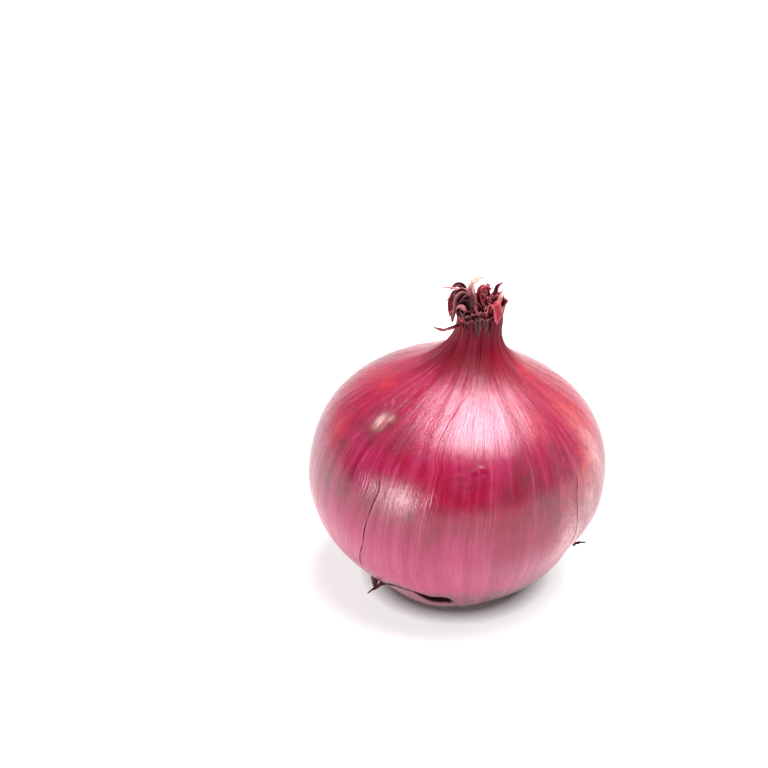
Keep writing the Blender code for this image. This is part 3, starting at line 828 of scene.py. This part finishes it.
def sheath_rows(fields):
    """A ring grid of one torn sheath, with its tone, pale rim and grain."""
    radius, low, rim, rough, deepest, lean, curl, tone, seed = fields
    angle = np.linspace(-math.pi, math.pi, SHEATH_COLUMNS, endpoint=False)
    top = rim + 1.4 * rough * ring_noise(seed, angle, 1.3) + 0.8 * rough * ring_noise(seed + 40, angle, 6)
    top = top + 0.45 * rough * ring_noise(seed + 80, angle, 19)
    top = top + RIGHT_RISE * bell(angle, math.radians(5), 0.75)
    top = top - FRONT_DROP * bell(angle, math.radians(-95), 0.5)
    top = (top - tears(angle, seed, 15, 7, deepest)) * MM
    top = np.minimum(np.maximum(top, (low + 1.2) * MM), TUFT_TOP)
    share = np.linspace(0, 1, SHEATH_ROWS)[:, None]
    length = (top - low * MM)[None]
    curl = curl * (1 - 0.85 * bell(angle, math.radians(5), 0.9))
    curl = curl * (0.55 + 1.3 * ring_noise(seed + 120, angle, 2.6))
    slant = np.radians(lean + curl[None] * ease(share, 0.55, 1.05))
    folds = 0.16 * np.cos(13 * angle + seed) + 0.10 * np.cos(29 * angle + 2 * seed)
    folds = folds + 0.07 * np.cos(47 * angle + seed)
    step = length / (SHEATH_ROWS - 1)
    out = np.cumsum(np.sin(slant) * step, axis=0) - np.sin(slant) * step
    up = np.cumsum(np.cos(slant) * step, axis=0) - np.cos(slant) * step
    crumple = ring_noise(seed + 160, angle[None], 5, share * 3.2)
    wide = radius * MM * (1 + 0.05 * np.cos(2 * angle + seed)) + (folds * MM)[None] * (0.4 + 0.9 * share)
    spread = wide + out + crumple * 0.00042 * ease(share, 0.15, 0.9)
    place = bent(spread, low * MM + up, angle[None])
    place[..., 2] -= TABLE_PRESS * (1 - share)
    edge = np.exp(-((1 - share) * length / 0.00038))
    weave = stacked(np.cos(angle)[None] * 2.2, np.sin(angle)[None] * 2.2, seed + share * 1.1)
    shade = tone + 0.06 * crumple + 0.10 * np.cos(5 * angle + seed) * share
    return place, dict(tone=shade, edge=edge, weave=weave)


# The dry leaf ends: azimuth, distance of the foot from the middle, width, length, lean, turn of the
# bend, where along the end it bends and over how much of it, swing, twist, share of the width at the
# tip, roll of the edges, tone at the foot and at the tip, and paleness of the edges. Lengths are in
# mm and angles in degrees
STRIPS = (
    # the lobe that folds over to the left, the crumpled end above it and a thin spike
    (-152, 4.6, 5.4, 17.5, 8, 165, 0.58, 0.13, 26, 8, 0.55, 190, 0.12, 0.34, 0.8),
    (158, 3.8, 3.6, 12.2, 8, 125, 0.82, 0.14, 30, -15, 0.5, 240, 0.14, 0.22, 0.5),
    (178, 2.4, 1.1, 16.0, 4, 80, 0.57, 0.10, 4, 0, 0.3, 120, 0.72, 0.80, 0.5),
    (-158, 4.4, 6.4, 9.6, 6, 150, 0.74, 0.16, 6, 16, 0.95, 90, 0.06, 0.10, 0.15),
    (-140, 4.6, 5.0, 8.2, 8, 150, 0.72, 0.16, -10, -20, 0.9, 120, 0.10, 0.06, 0.2),
    (-176, 4.2, 4.8, 9.0, 8, 140, 0.74, 0.18, 8, 24, 0.9, 110, 0.08, 0.14, 0.2),
    (-150, 4.4, 5.4, 11.6, 2, 160, 0.80, 0.12, 4, -12, 0.9, 130, 0.07, 0.16, 0.3),
    (-140, 4.7, 3.2, 8.8, 16, 140, 0.80, 0.14, -20, 16, 0.8, 150, 0.58, 0.82, 1.0),
    (-152, 4.8, 2.4, 7.8, 28, 130, 0.78, 0.16, -8, -20, 0.7, 170, 0.56, 0.76, 1.0),
    # tall strips behind and in the middle
    (148, 4.6, 3.4, 15.4, -6, -56, 0.70, 0.20, 0, 40, 0.3, 70, 0.80, 1.0, 0.6),
    (172, 3.8, 1.7, 11.8, -14, 24, 0.70, 0.25, 0, 80, 0.2, 90, 0.90, 0.84, 0.6),
    (118, 4.8, 4.4, 7.5, 2, 20, 0.70, 0.28, 0, 20, 0.5, 120, 0.42, 0.62, 0.8),
    (66, 4.8, 4.6, 8.2, 4, 25, 0.65, 0.28, 12, -20, 0.4, 130, 0.40, 0.50, 0.9),
    (-150, 2.2, 2.2, 11.2, -2, 8, 0.60, 0.28, 0, 30, 0.6, 110, 0.66, 0.80, 0.7),
    (75, 1.4, 3.4, 11.4, 0, 120, 0.80, 0.14, -60, -20, 0.6, 160, 0.44, 0.50, 1.0),
    # the wall of the neck that still stands on the right
    (8, 5.2, 5.2, 8.6, 2, 8, 0.60, 0.28, 0, -10, 0.6, 110, 0.46, 0.84, 1.0),
    (-30, 5.2, 3.8, 7.6, 2, 12, 0.60, 0.28, 10, 15, 0.35, 110, 0.50, 0.60, 1.0),
    (38, 5.0, 3.0, 10.0, 5, 62, 0.84, 0.14, -10, 20, 0.3, 160, 0.50, 0.16, 0.9),
    # the tongue that folds over the front, the rolled rim beside it and shreds that hang down
    (-56, 4.9, 3.0, 13.2, 2, 168, 0.60, 0.12, 18, 8, 0.85, 80, 0.46, 0.60, 0.9),
    (-122, 5.0, 6.4, 6.4, 4, 110, 0.75, 0.22, 0, 0, 0.8, 60, 0.16, 0.10, 0.9),
    (-96, 5.3, 1.8, 9.0, 12, 160, 0.50, 0.14, 8, 0, 0.3, 120, 0.12, 0.08, 0.3),
    (-78, 5.3, 1.5, 8.0, 10, 160, 0.54, 0.14, -6, 0, 0.3, 120, 0.10, 0.08, 0.3),
    # the tendril low on the left
    (-156, 4.4, 1.8, 9.5, 94, -46, 0.70, 0.25, 10, 20, 0.7, 150, 0.56, 0.30, 0.9),
)
SHRED_COUNT = 44


def shreds():
    """Narrow torn ends that fill the tuft between the larger ones, by a rule with a fixed seed."""
    chance = random.Random(23)
    for number in range(SHRED_COUNT):
        azimuth = (number * GOLDEN_ANGLE + 180) % 360 - 180
        foot = 5.2 * math.sqrt((number + 0.5) / SHRED_COUNT)
        left_front = math.exp(-((wrapped(math.radians(azimuth + 110)) / 0.9) ** 2))
        length = chance.uniform(3.6, 7.6) * (1 - 0.30 * left_front)
        yield (
            azimuth, max(0.8, foot - 0.3), chance.uniform(0.5, 1.9), length, chance.uniform(-14, 16),
            chance.uniform(10, 150), 0.78, 0.22, chance.uniform(-60, 60), chance.uniform(-70, 70),
            chance.uniform(0.15, 0.6), chance.uniform(60, 230), chance.uniform(0.05, 0.4),
            chance.choice((0.1, 0.16, 0.3, 0.45, 0.6)), chance.uniform(0.2, 0.9),
        )


def strip_rows(strip, seed, rows, columns):
    """A grid of points across one curled leaf end, with its tone, pale edges and grain."""
    azimuth, foot, width, length, lean, turn, bend, spread, swing, twist, tip, *looks = strip
    roll, tone, tip_tone, pale = looks
    share = np.linspace(0, 1, rows)[:, None]
    side = np.linspace(-1, 1, columns)[None]
    off_middle = np.abs(side)
    slant = np.radians(lean + turn * ease(share, bend - spread, bend + spread))
    heading = math.radians(azimuth) + math.radians(swing) * share
    none = np.zeros_like(share)
    out = np.hstack([np.cos(heading), np.sin(heading), none])
    along = out * np.sin(slant) + np.hstack([none, none, np.cos(slant)])
    level = np.hstack([-np.sin(heading), np.cos(heading), none])
    twisted = np.radians(twist) * share
    across = level * np.cos(twisted) + np.cross(along, level) * np.sin(twisted)
    outward = np.cross(across, along)
    step = length * MM / (rows - 1)
    start = bent(0, TUFT_HEIGHT + STRIP_ROOT, 0) + out[0] * foot * MM
    centre = start + np.cumsum(along * step, axis=0) - along * step

    def fray(y):
        return smooth_noise(seed, share * 7, y, 0) + 0.5 * smooth_noise(seed + 1, share * 23, y, 0)

    half = width * MM / 2 * (1 - (1 - tip) * share ** 2) * (1 - 0.72 * ease(share, 0.86, 1.02))
    reach = half * (1 + 0.24 * np.where(side < 0, fray(0), fray(5)) * ease(share, 0.05, 0.3))
    curl = math.radians(roll) / 2 * (0.45 + 0.75 * ease(share, 0.1, 0.9))
    curl = curl * (1 + 0.3 * smooth_noise(seed + 2, share * 3, 0, 0))
    wound = curl * off_middle ** 1.5
    sideways = np.sign(side) * reach * np.sin(np.minimum(wound, 2.6)) / np.maximum(wound, 1e-3)
    sideways = np.where(off_middle < 1e-6, 0, sideways * off_middle)
    inward = reach * off_middle * (1 - np.cos(wound)) / np.maximum(wound, 1e-3)
    crumple = smooth_noise(seed + 3, share * 5.5, side * 1.6, 0)
    crumple = crumple + 0.5 * smooth_noise(seed + 4, share * 15, side * 3.2, 0)
    pleat = 0.3 * np.cos(side * 8 + random.Random(seed).uniform(0, 6) + 2.0 * share)
    size = min(0.34, 0.13 * width) * MM
    lift = (crumple + pleat) * size * ease(share, 0.0, 0.2) - inward
    tip_cut = 0.11 * smooth_noise(seed + 5, side * 3.1, 0, 0) + 0.05 * smooth_noise(seed + 6, side * 9, 0, 0)
    slide = tip_cut * length * MM * ease(share, 0.6, 1.0)
    place = centre[:, None] + across[:, None] * sideways[..., None]
    place = place + outward[:, None] * lift[..., None] + along[:, None] * slide[..., None]
    from_border = np.minimum((1 - off_middle) * reach, (1 - share) * length * MM)
    edge = np.exp(-from_border / 0.00026) * pale
    shade = tone + (tip_tone - tone) * ease(share, 0.35, 1.0) + 0.07 * crumple
    weave = stacked(side * reach / 0.0022, seed * 0.37, share * length / 9)
    return place, dict(tone=shade, edge=edge, weave=weave)


def thread(points, radius, sides):
    """Points and faces of a thin tapering thread along a path."""
    along = unit(np.gradient(points, axis=0))
    first = unit(np.cross(along, np.array([0.31, 0.95, 0.11])))
    second = np.cross(along, first)
    turn = np.linspace(0, 2 * math.pi, sides, endpoint=False)
    ring = first[:, None] * np.cos(turn)[None, :, None] + second[:, None] * np.sin(turn)[None, :, None]
    grid = points[:, None] + ring * radius.reshape(-1, 1, 1)
    faces = ring_faces(len(points), sides)
    last = (len(points) - 1) * sides
    faces += [tuple(range(sides)), tuple(last + side for side in reversed(range(sides)))]
    return grid.reshape(-1, 3), faces


# The neck's outermost skin: where it starts, its rim, how far its surface lies out of the neck's,
# and how deep its foot is sunk under the skin of the bulb
NECK_TOP_START = 0.0758
NECK_TOP = 0.0812
NECK_TOP_OUT = -0.00006
NECK_TOP_SUNK = 0.00018
NECK_TOP_COLUMNS = 288
NECK_TOP_ROWS = 40
# Slots torn down into it: azimuth and half width in degrees, and how low they reach in mm
NECK_SLOTS = (
    (-93, 9, 77.6), (-108, 8, 78.6), (-128, 9, 78.2), (-74, 6, 79.4), (-150, 8, 79.0), (20, 6, 79.6),
    (150, 8, 79.0), (95, 9, 78.6),
)
# Distance down the outline from the neck's top to NECK_TOP_START, as the grain counts it
SKIN_TOP_ALONG = (TUFT_HEIGHT - NECK_TOP_START) / GRAIN_LENGTH + 0.116


def build_neck_top(materials):
    """The outermost skin of the neck, which goes on from the bulb's skin and ends in a torn rim."""
    angle = np.linspace(-math.pi, math.pi, NECK_TOP_COLUMNS, endpoint=False)
    top = NECK_TOP + 0.0012 * (ring_noise(31, angle, 5) + 0.6 * ring_noise(32, angle, 17))
    top = top + 0.0034 * bell(angle, math.radians(2), 0.9)
    top = top - MM * tears(angle, 33, 26, 6, 3.4)
    for azimuth, half, low in NECK_SLOTS:
        share = np.clip(np.abs(wrapped(angle - math.radians(azimuth))) / math.radians(half), 0, 1)
        top = np.minimum(top, low * MM + 0.006 * share ** 0.7)
    top = np.maximum(top, NECK_TOP_START + 0.0008)
    angle, top = angle[None], top[None]
    height = NECK_TOP_START + (top - NECK_TOP_START) * np.linspace(0, 1, NECK_TOP_ROWS)[:, None]
    loose = ease(height, TUFT_HEIGHT, NECK_TOP + 0.002)
    sunk = NECK_TOP_SUNK * (1 - ease(height, NECK_TOP_START, TUFT_HEIGHT - 0.0002))
    place = grown(neck_radius(height) + NECK_TOP_OUT - sunk, height, angle)
    out = stacked(np.cos(angle), np.sin(angle), 0)
    flare = 0.00030 * loose * ring_noise(34, angle, 5, height * 400)
    flare = flare + 0.00045 * loose * bell(angle, math.radians(-140), 0.7)
    place = place + out * (undulation(angle, height) + flare)[..., None]
    along = (NECK_TOP_START - height) / GRAIN_LENGTH + SKIN_TOP_ALONG
    none = np.zeros_like(height)
    rim = np.exp(-(top - height) / 0.0004)
    front = bell(wrapped(angle - math.radians(-108)), 0, 0.75) * ease(height, 0.0760, 0.0795)
    fibres = ease(ring_noise(35, angle, 26, height * 90), -0.25, 0.25)
    skin = Gathered()
    skin.add_sheet(
        place, 0.00018, ring=True, grow=stacked(np.cos(angle), np.sin(angle), along),
        patches=patch_values(angle, height), extra=stacked(height / 0.08, none, none, none + 1),
        marks=stacked(0.95 * front * fibres, none, none, 0.8 * rim * (1 - 0.7 * front)),
    )
    skin.build("neck_top", materials["skin"], "leaf_tuft")


def build_tuft(materials):
    walls = Gathered()
    for fields in SHEATHS:
        place, values = sheath_rows(fields)
        walls.add_sheet(place, LEAF_THICKNESS, ring=True, **values)
    walls.build("neck_sheaths", materials["leaf"], "leaf_tuft")
    build_neck_top(materials)
    ends = Gathered()
    for number, strip in enumerate(STRIPS):
        place, values = strip_rows(strip, 200 + 9 * number, rows=46, columns=15)
        ends.add_sheet(place, LEAF_THICKNESS, **values)
    for number, strip in enumerate(shreds()):
        place, values = strip_rows(strip, 500 + 9 * number, rows=22, columns=7)
        place[..., 2] = np.minimum(place[..., 2], TUFT_TOP)
        ends.add_sheet(place, LEAF_THICKNESS, **values)
    ends.build("leaf_strips", materials["leaf"], "leaf_tuft")


def leaf_material():
    """Dry neck leaves: near black to crimson, pink and cream by tone, with fibres and pale torn edges."""
    shader = Shader(bpy.data.materials.new("dry_leaf"))
    between = shader.between
    weave = shader.attribute("weave")["Vector"]
    fibre = shader.noise(weave, 9.0, 0.9, 4.0, 0.65)
    hair = shader.noise(weave, 30.0, 1.6, 3.0, 0.6)
    stain = shader.noise(weave, 1.8, 2.2, 5.0, 0.6, 0.4)
    level = shader.plus(shader.attribute("tone")["Fac"], between(stain, 0.25, 0.75, -0.13, 0.13))
    colour = shader.ramp(
        shader.plus(level, between(fibre, 0.3, 0.7, -0.08, 0.08)),
        (0.00, 26, 3, 8), (0.14, 58, 4, 16), (0.30, 92, 4, 24), (0.44, 142, 10, 36), (0.58, 180, 44, 66),
        (0.74, 212, 118, 126), (1.00, 242, 218, 202),
    )
    colour = shader.mix(between(hair, 0.58, 0.75, 0.0, 0.4), colour, srgb(50, 6, 18))
    pale = shader.times(shader.attribute("edge")["Fac"], 0.6, clamp=True)
    relief = shader.plus(fibre, shader.times(hair, 0.5))
    return shader.finish(
        Base_Color=shader.mix(pale, colour, srgb(206, 128, 132)),
        Roughness=0.46,
        Specular_IOR_Level=0.3,
        Normal=shader.bump(relief, 0.00012),
    )


# Flakes of skin at the tear and beside it: azimuth in degrees, height, length and width in mm, slope
# down and turn sideways in degrees, and tone
FLAKES = (
    (-136, 9.5, 6.1, 2.6, 32, -24, 0.16), (-140, 10.0, 4.2, 3.4, 74, 18, 0.12),
    (-19, 17.0, 3.7, 2.0, -18, 10, 0.2),
)
# How far inside the bulb they start
FLAKE_ROOT = 0.0016


def flake_rows(flake, seed, rows=20, columns=9):
    """A grid across one pointed flake of skin, from inside the bulb to its tip."""
    azimuth, height, length, width, down, sideways, tone = flake
    azimuth, down, sideways = math.radians(azimuth), math.radians(down), math.radians(sideways)
    height = height * MM
    drop = (EQUATOR_HEIGHT - height) / EQUATOR_HEIGHT
    surface = bent(BULB_RADIUS * math.sqrt(1 - 0.93 * drop * drop), height, azimuth)
    out = np.array([math.cos(azimuth), math.sin(azimuth), 0])
    side = np.array([-math.sin(azimuth), math.cos(azimuth), 0])
    along = out * math.cos(down) - np.array([0, 0, math.sin(down)])
    along = along * math.cos(sideways) + side * math.sin(sideways)
    across = np.cross(along, np.cross(out, side))
    across /= np.linalg.norm(across)
    over = np.cross(across, along)
    share = np.linspace(0, 1, rows)[:, None]
    span = np.linspace(-1, 1, columns)[None]
    half = width * MM / 2 * (1 - 0.88 * share ** 0.8)
    half = half * (1 + 0.3 * smooth_noise(seed, share * 4, np.sign(span) * 3, 0))
    crumple = smooth_noise(seed + 1, share * 4, span * 1.4, 0)
    reach = length * MM * share - FLAKE_ROOT
    lift = -0.55 * half * span * span + 0.00022 * crumple
    place = surface + along * reach[..., None] + across * (half * span)[..., None] + over * lift[..., None]
    place[..., 2] -= 0.0006 * (share * share)
    edge = np.exp(-(1 - np.abs(span)) * half / 0.0002) * 0.25
    return place, dict(tone=tone + 0.06 * crumple, edge=edge, weave=stacked(span, seed * 0.4, share * 2))


def build_flakes(materials):
    flakes = Gathered()
    for number, flake in enumerate(FLAKES):
        place, values = flake_rows(flake, 900 + 7 * number)
        flakes.add_sheet(place, 0.0002, **values)
    flakes.build("skin_flakes", materials["leaf"], "bulb")


# The root plate: its radius, its thickness at the edge, how far it domes, and its gap to the bulb
PLATE_RADIUS = 0.0054
PLATE_EDGE = 0.0007
PLATE_DOME = 0.0009
PLATE_GAP = 0.0003
PLATE_COLUMNS = 96
PLATE_ROWS = 26
# The roots: how low and how far out they may go, and their number, steps and sides
ROOT_FLOOR = 0.0006
ROOT_REACH = 0.0069
ROOT_COUNT = 120
ROOT_STEPS = 11
ROOT_SIDES = 5


def root_path(number, chance):
    share = (number + 0.5) / ROOT_COUNT
    angle = number * math.radians(GOLDEN_ANGLE)
    radius = (PLATE_RADIUS - 0.0003) * math.sqrt(share)
    x, y = radius * math.cos(angle), radius * math.sin(angle)
    z = DIMPLE_DEPTH - PLATE_GAP - PLATE_EDGE + 0.0006
    length = chance.uniform(0.0026, 0.0056)
    lean = math.radians(20 + 50 * share + chance.uniform(-14, 14))
    swing = chance.uniform(-1.3, 1.3)
    curl = chance.uniform(0.1, 1.1)
    thick = chance.uniform(0.00013, 0.00030)
    allowed = ROOT_REACH - thick
    points = []
    for k in range(ROOT_STEPS + 1):
        points.append((x, y, z))
        part = k / ROOT_STEPS
        heading = angle + swing * part + 0.5 * math.sin(9 * part + number)
        slant = lean + curl * part
        x += math.sin(slant) * math.cos(heading) * length / ROOT_STEPS
        y += math.sin(slant) * math.sin(heading) * length / ROOT_STEPS
        z = max(z - math.cos(slant) * length / ROOT_STEPS, TABLE_PRESS + ROOT_FLOOR - 0.0002)
        reach = math.hypot(x, y)
        if reach > allowed:
            x, y = x * allowed / reach, y * allowed / reach
    return np.array(points), thick


def build_roots(materials):
    """The root plate, rough and domed, and the dry roots on it."""
    centre = bent(0, 0, 0)
    rows, columns = PLATE_ROWS, PLATE_COLUMNS
    angle = np.linspace(0, 2 * math.pi, columns, endpoint=False)[None]
    share = np.linspace(0.02, 1, rows)[:, None]
    radius = PLATE_RADIUS * share * (1 + 0.02 * np.cos(7 * angle) * share)
    x, y = radius * np.cos(angle), radius * np.sin(angle)
    rough = smooth_noise(60, x * 900, y * 900, 0)
    upper = DIMPLE_DEPTH - PLATE_GAP
    lower = upper - PLATE_EDGE - PLATE_DOME * (1 - share ** 2) + 0.00022 * rough
    disc = stacked(centre[0] + x, y, lower - TABLE_PRESS)
    back = stacked(centre[0] + x, y, upper - TABLE_PRESS)
    count = rows * columns
    faces = both_sides(ring_faces(rows, columns), count)
    rim = [count - columns + k for k in range(columns)]
    faces += [(b, a, a + count, b + count) for a, b in zip(rim, rim[1:] + rim[:1])]
    faces += [tuple(reversed(range(columns))), tuple(count + k for k in range(columns))]
    plate = Gathered()
    tone = np.tile((0.35 + 0.25 * rough).reshape(-1), 2)
    weave = np.tile((disc * 700).reshape(-1, 3), (2, 1))
    plate.add(np.concatenate([disc.reshape(-1, 3), back.reshape(-1, 3)]), faces, tone=tone, weave=weave)
    plate.build("root_plate", materials["root"], "root_tuft")
    roots = Gathered()
    chance = random.Random(7)
    for number in range(ROOT_COUNT):
        path, thick = root_path(number, chance)
        path[:, 0] += centre[0]
        path[:, 2] -= TABLE_PRESS
        share = np.linspace(0, 1, len(path))
        radius = thick * (1 - 0.8 * share ** 2) * (1 + 0.2 * np.sin(share * 17 + number))
        points, faces = thread(path, radius, ROOT_SIDES)
        weave = np.repeat(stacked(share * 6, number, 0), ROOT_SIDES, axis=0)
        tone = np.repeat(0.35 + 0.4 * share + chance.uniform(-0.2, 0.2), ROOT_SIDES)
        roots.add(points, faces, tone=tone, weave=weave)
    roots.build("roots", materials["root"], "root_tuft")


def root_material():
    """Dry tan roots with darker stains and fine grain."""
    shader = Shader(bpy.data.materials.new("dry_root"))
    weave = shader.attribute("weave")["Vector"]
    grain = shader.noise(weave, 3.0, 3.0, 5.0, 0.65)
    stain = shader.noise(weave, 0.8, 0.8, 3.0, 0.5)
    colour = shader.ramp(
        shader.plus(shader.attribute("tone")["Fac"], shader.between(grain, 0.25, 0.75, -0.22, 0.22)),
        (0.0, 72, 48, 30), (0.35, 138, 104, 66), (0.65, 184, 152, 108), (1.0, 216, 192, 154),
    )
    colour = shader.mix(shader.between(stain, 0.5, 0.7, 0.0, 0.4), colour, srgb(118, 62, 52))
    return shader.finish(
        Base_Color=colour, Roughness=0.85, Specular_IOR_Level=0.3, Normal=shader.bump(grain, 0.00015)
    )


def make_camera():
    right = Vector((1, 0, 0))
    up = Vector((0, math.sin(CAMERA_ELEVATION), math.cos(CAMERA_ELEVATION)))
    forward = Vector((0, math.cos(CAMERA_ELEVATION), -math.sin(CAMERA_ELEVATION)))
    aim = Vector((0, 0, AIM_HEIGHT))
    aim -= right * (ONION_PIXEL[0] - FRAME_PIXELS / 2) * PIXEL_SIZE
    aim += up * (ONION_PIXEL[1] - FRAME_PIXELS / 2) * PIXEL_SIZE
    data = bpy.data.cameras.new("camera")
    data.sensor_width = SENSOR
    data.lens = CAMERA_DISTANCE / PIXEL_SIZE * SENSOR / FRAME_PIXELS
    data.clip_start = 0.01
    camera = placed("camera", data)
    camera.location = aim - forward * CAMERA_DISTANCE
    camera.rotation_euler = (math.pi / 2 - CAMERA_ELEVATION, 0, 0)
    bpy.context.scene.camera = camera


# How the softboxes above the onion are turned about their own direction, in degrees
TOP_ROLL = -17
# What they and the side's softbox point at
LIT_HEIGHT = 0.04


def softbox(name, direction, distance, width, height, power, shape="ELLIPSE", roll=None):
    """An area light that faces the onion, with its width level, or turned by a roll in degrees from +X."""
    data = bpy.data.lights.new(name, "AREA")
    data.shape, data.size, data.size_y, data.energy = shape, width, height, power
    light = placed(name, data)
    out = Vector(direction).normalized()
    light.location = Vector((0, 0, LIT_HEIGHT)) + out * distance
    if roll is None:
        light.rotation_euler = out.to_track_quat("Z", "Y").to_euler()
    else:
        up = out.cross(Vector((math.cos(math.radians(roll)), math.sin(math.radians(roll)), 0))).normalized()
        light.rotation_euler = Matrix((up.cross(out), up, out)).transposed().to_euler()


# How bright the surroundings are along two directions: axis, from, to, and brightness at both
SURROUNDINGS = (("Y", -0.1, 0.9, 0.04, 0.28), ("X", 0.25, 1.0, 0.0, 0.42))


def make_world():
    """Soft surroundings: white behind, grey above, and dark low down at the camera's side."""
    world = bpy.data.worlds.new("studio")
    shader = Shader(world)
    place = shader.nodes.new("ShaderNodeTexCoord").outputs["Generated"]
    parts = shader.fill(shader.nodes.new("ShaderNodeSeparateXYZ"), {0: place})
    shares = [shader.between(parts[axis], *ends, smooth=True) for axis, *ends in SURROUNDINGS]
    shader.fill(shader.nodes["Background"], {"Color": (1, 0.99, 0.98), "Strength": shader.plus(*shares)})
    bpy.context.scene.world = world


# How strongly the floor glows as painted light, and how far from the bulb's foot that starts and is full;
# inside that the floor keeps a painted contact shadow
FLOOR_GLOW = 0.70
CONTACT_INNER = 0.0198
CONTACT_OUTER = 0.0268


def make_floor():
    """A pale floor that glows as painted light, so that it stays white under the bulb's overhang, with a
    painted contact shadow round the foot where the glow fades out.
    """
    bpy.ops.mesh.primitive_plane_add(size=6)
    floor = bpy.context.object
    floor.name = "floor"
    shader = Shader(bpy.data.materials.new("floor"))
    place = shader.nodes.new("ShaderNodeTexCoord").outputs["Object"]
    length = shader.nodes.new("ShaderNodeVectorMath")
    length.operation = "LENGTH"
    away = shader.fill(length, {0: place})["Value"]
    floor.data.materials.append(shader.finish(
        Base_Color=shader.mix(shader.noise(place, 9.0, 9.0, 2.0), srgb(186, 186, 186), srgb(192, 191, 190)),
        Roughness=0.6,
        Emission_Color=(1.0, 0.99, 0.985),
        Emission_Strength=shader.between(away, CONTACT_INNER, CONTACT_OUTER, 0.0, FLOOR_GLOW),
    ))


bpy.context.scene.view_settings.view_transform = "Standard"
materials = {"skin": skin_material(), "leaf": leaf_material(), "root": root_material()}
build_skin(materials)
build_flakes(materials)
build_tuft(materials)
build_roots(materials)
make_camera()
make_world()
make_floor()
softbox("top_softbox", (0.16, 0.012, 0.98), 2.0, 1.08, 1.20, 67, "RECTANGLE", TOP_ROLL)
softbox("top_softbox_rim", (0.21, -0.07, 0.97), 2.1, 1.5, 1.7, 24, "ELLIPSE", TOP_ROLL)
softbox("side_softbox", (-0.77, -0.62, 0.16), 1.6, 0.25, 0.60, 16.5)
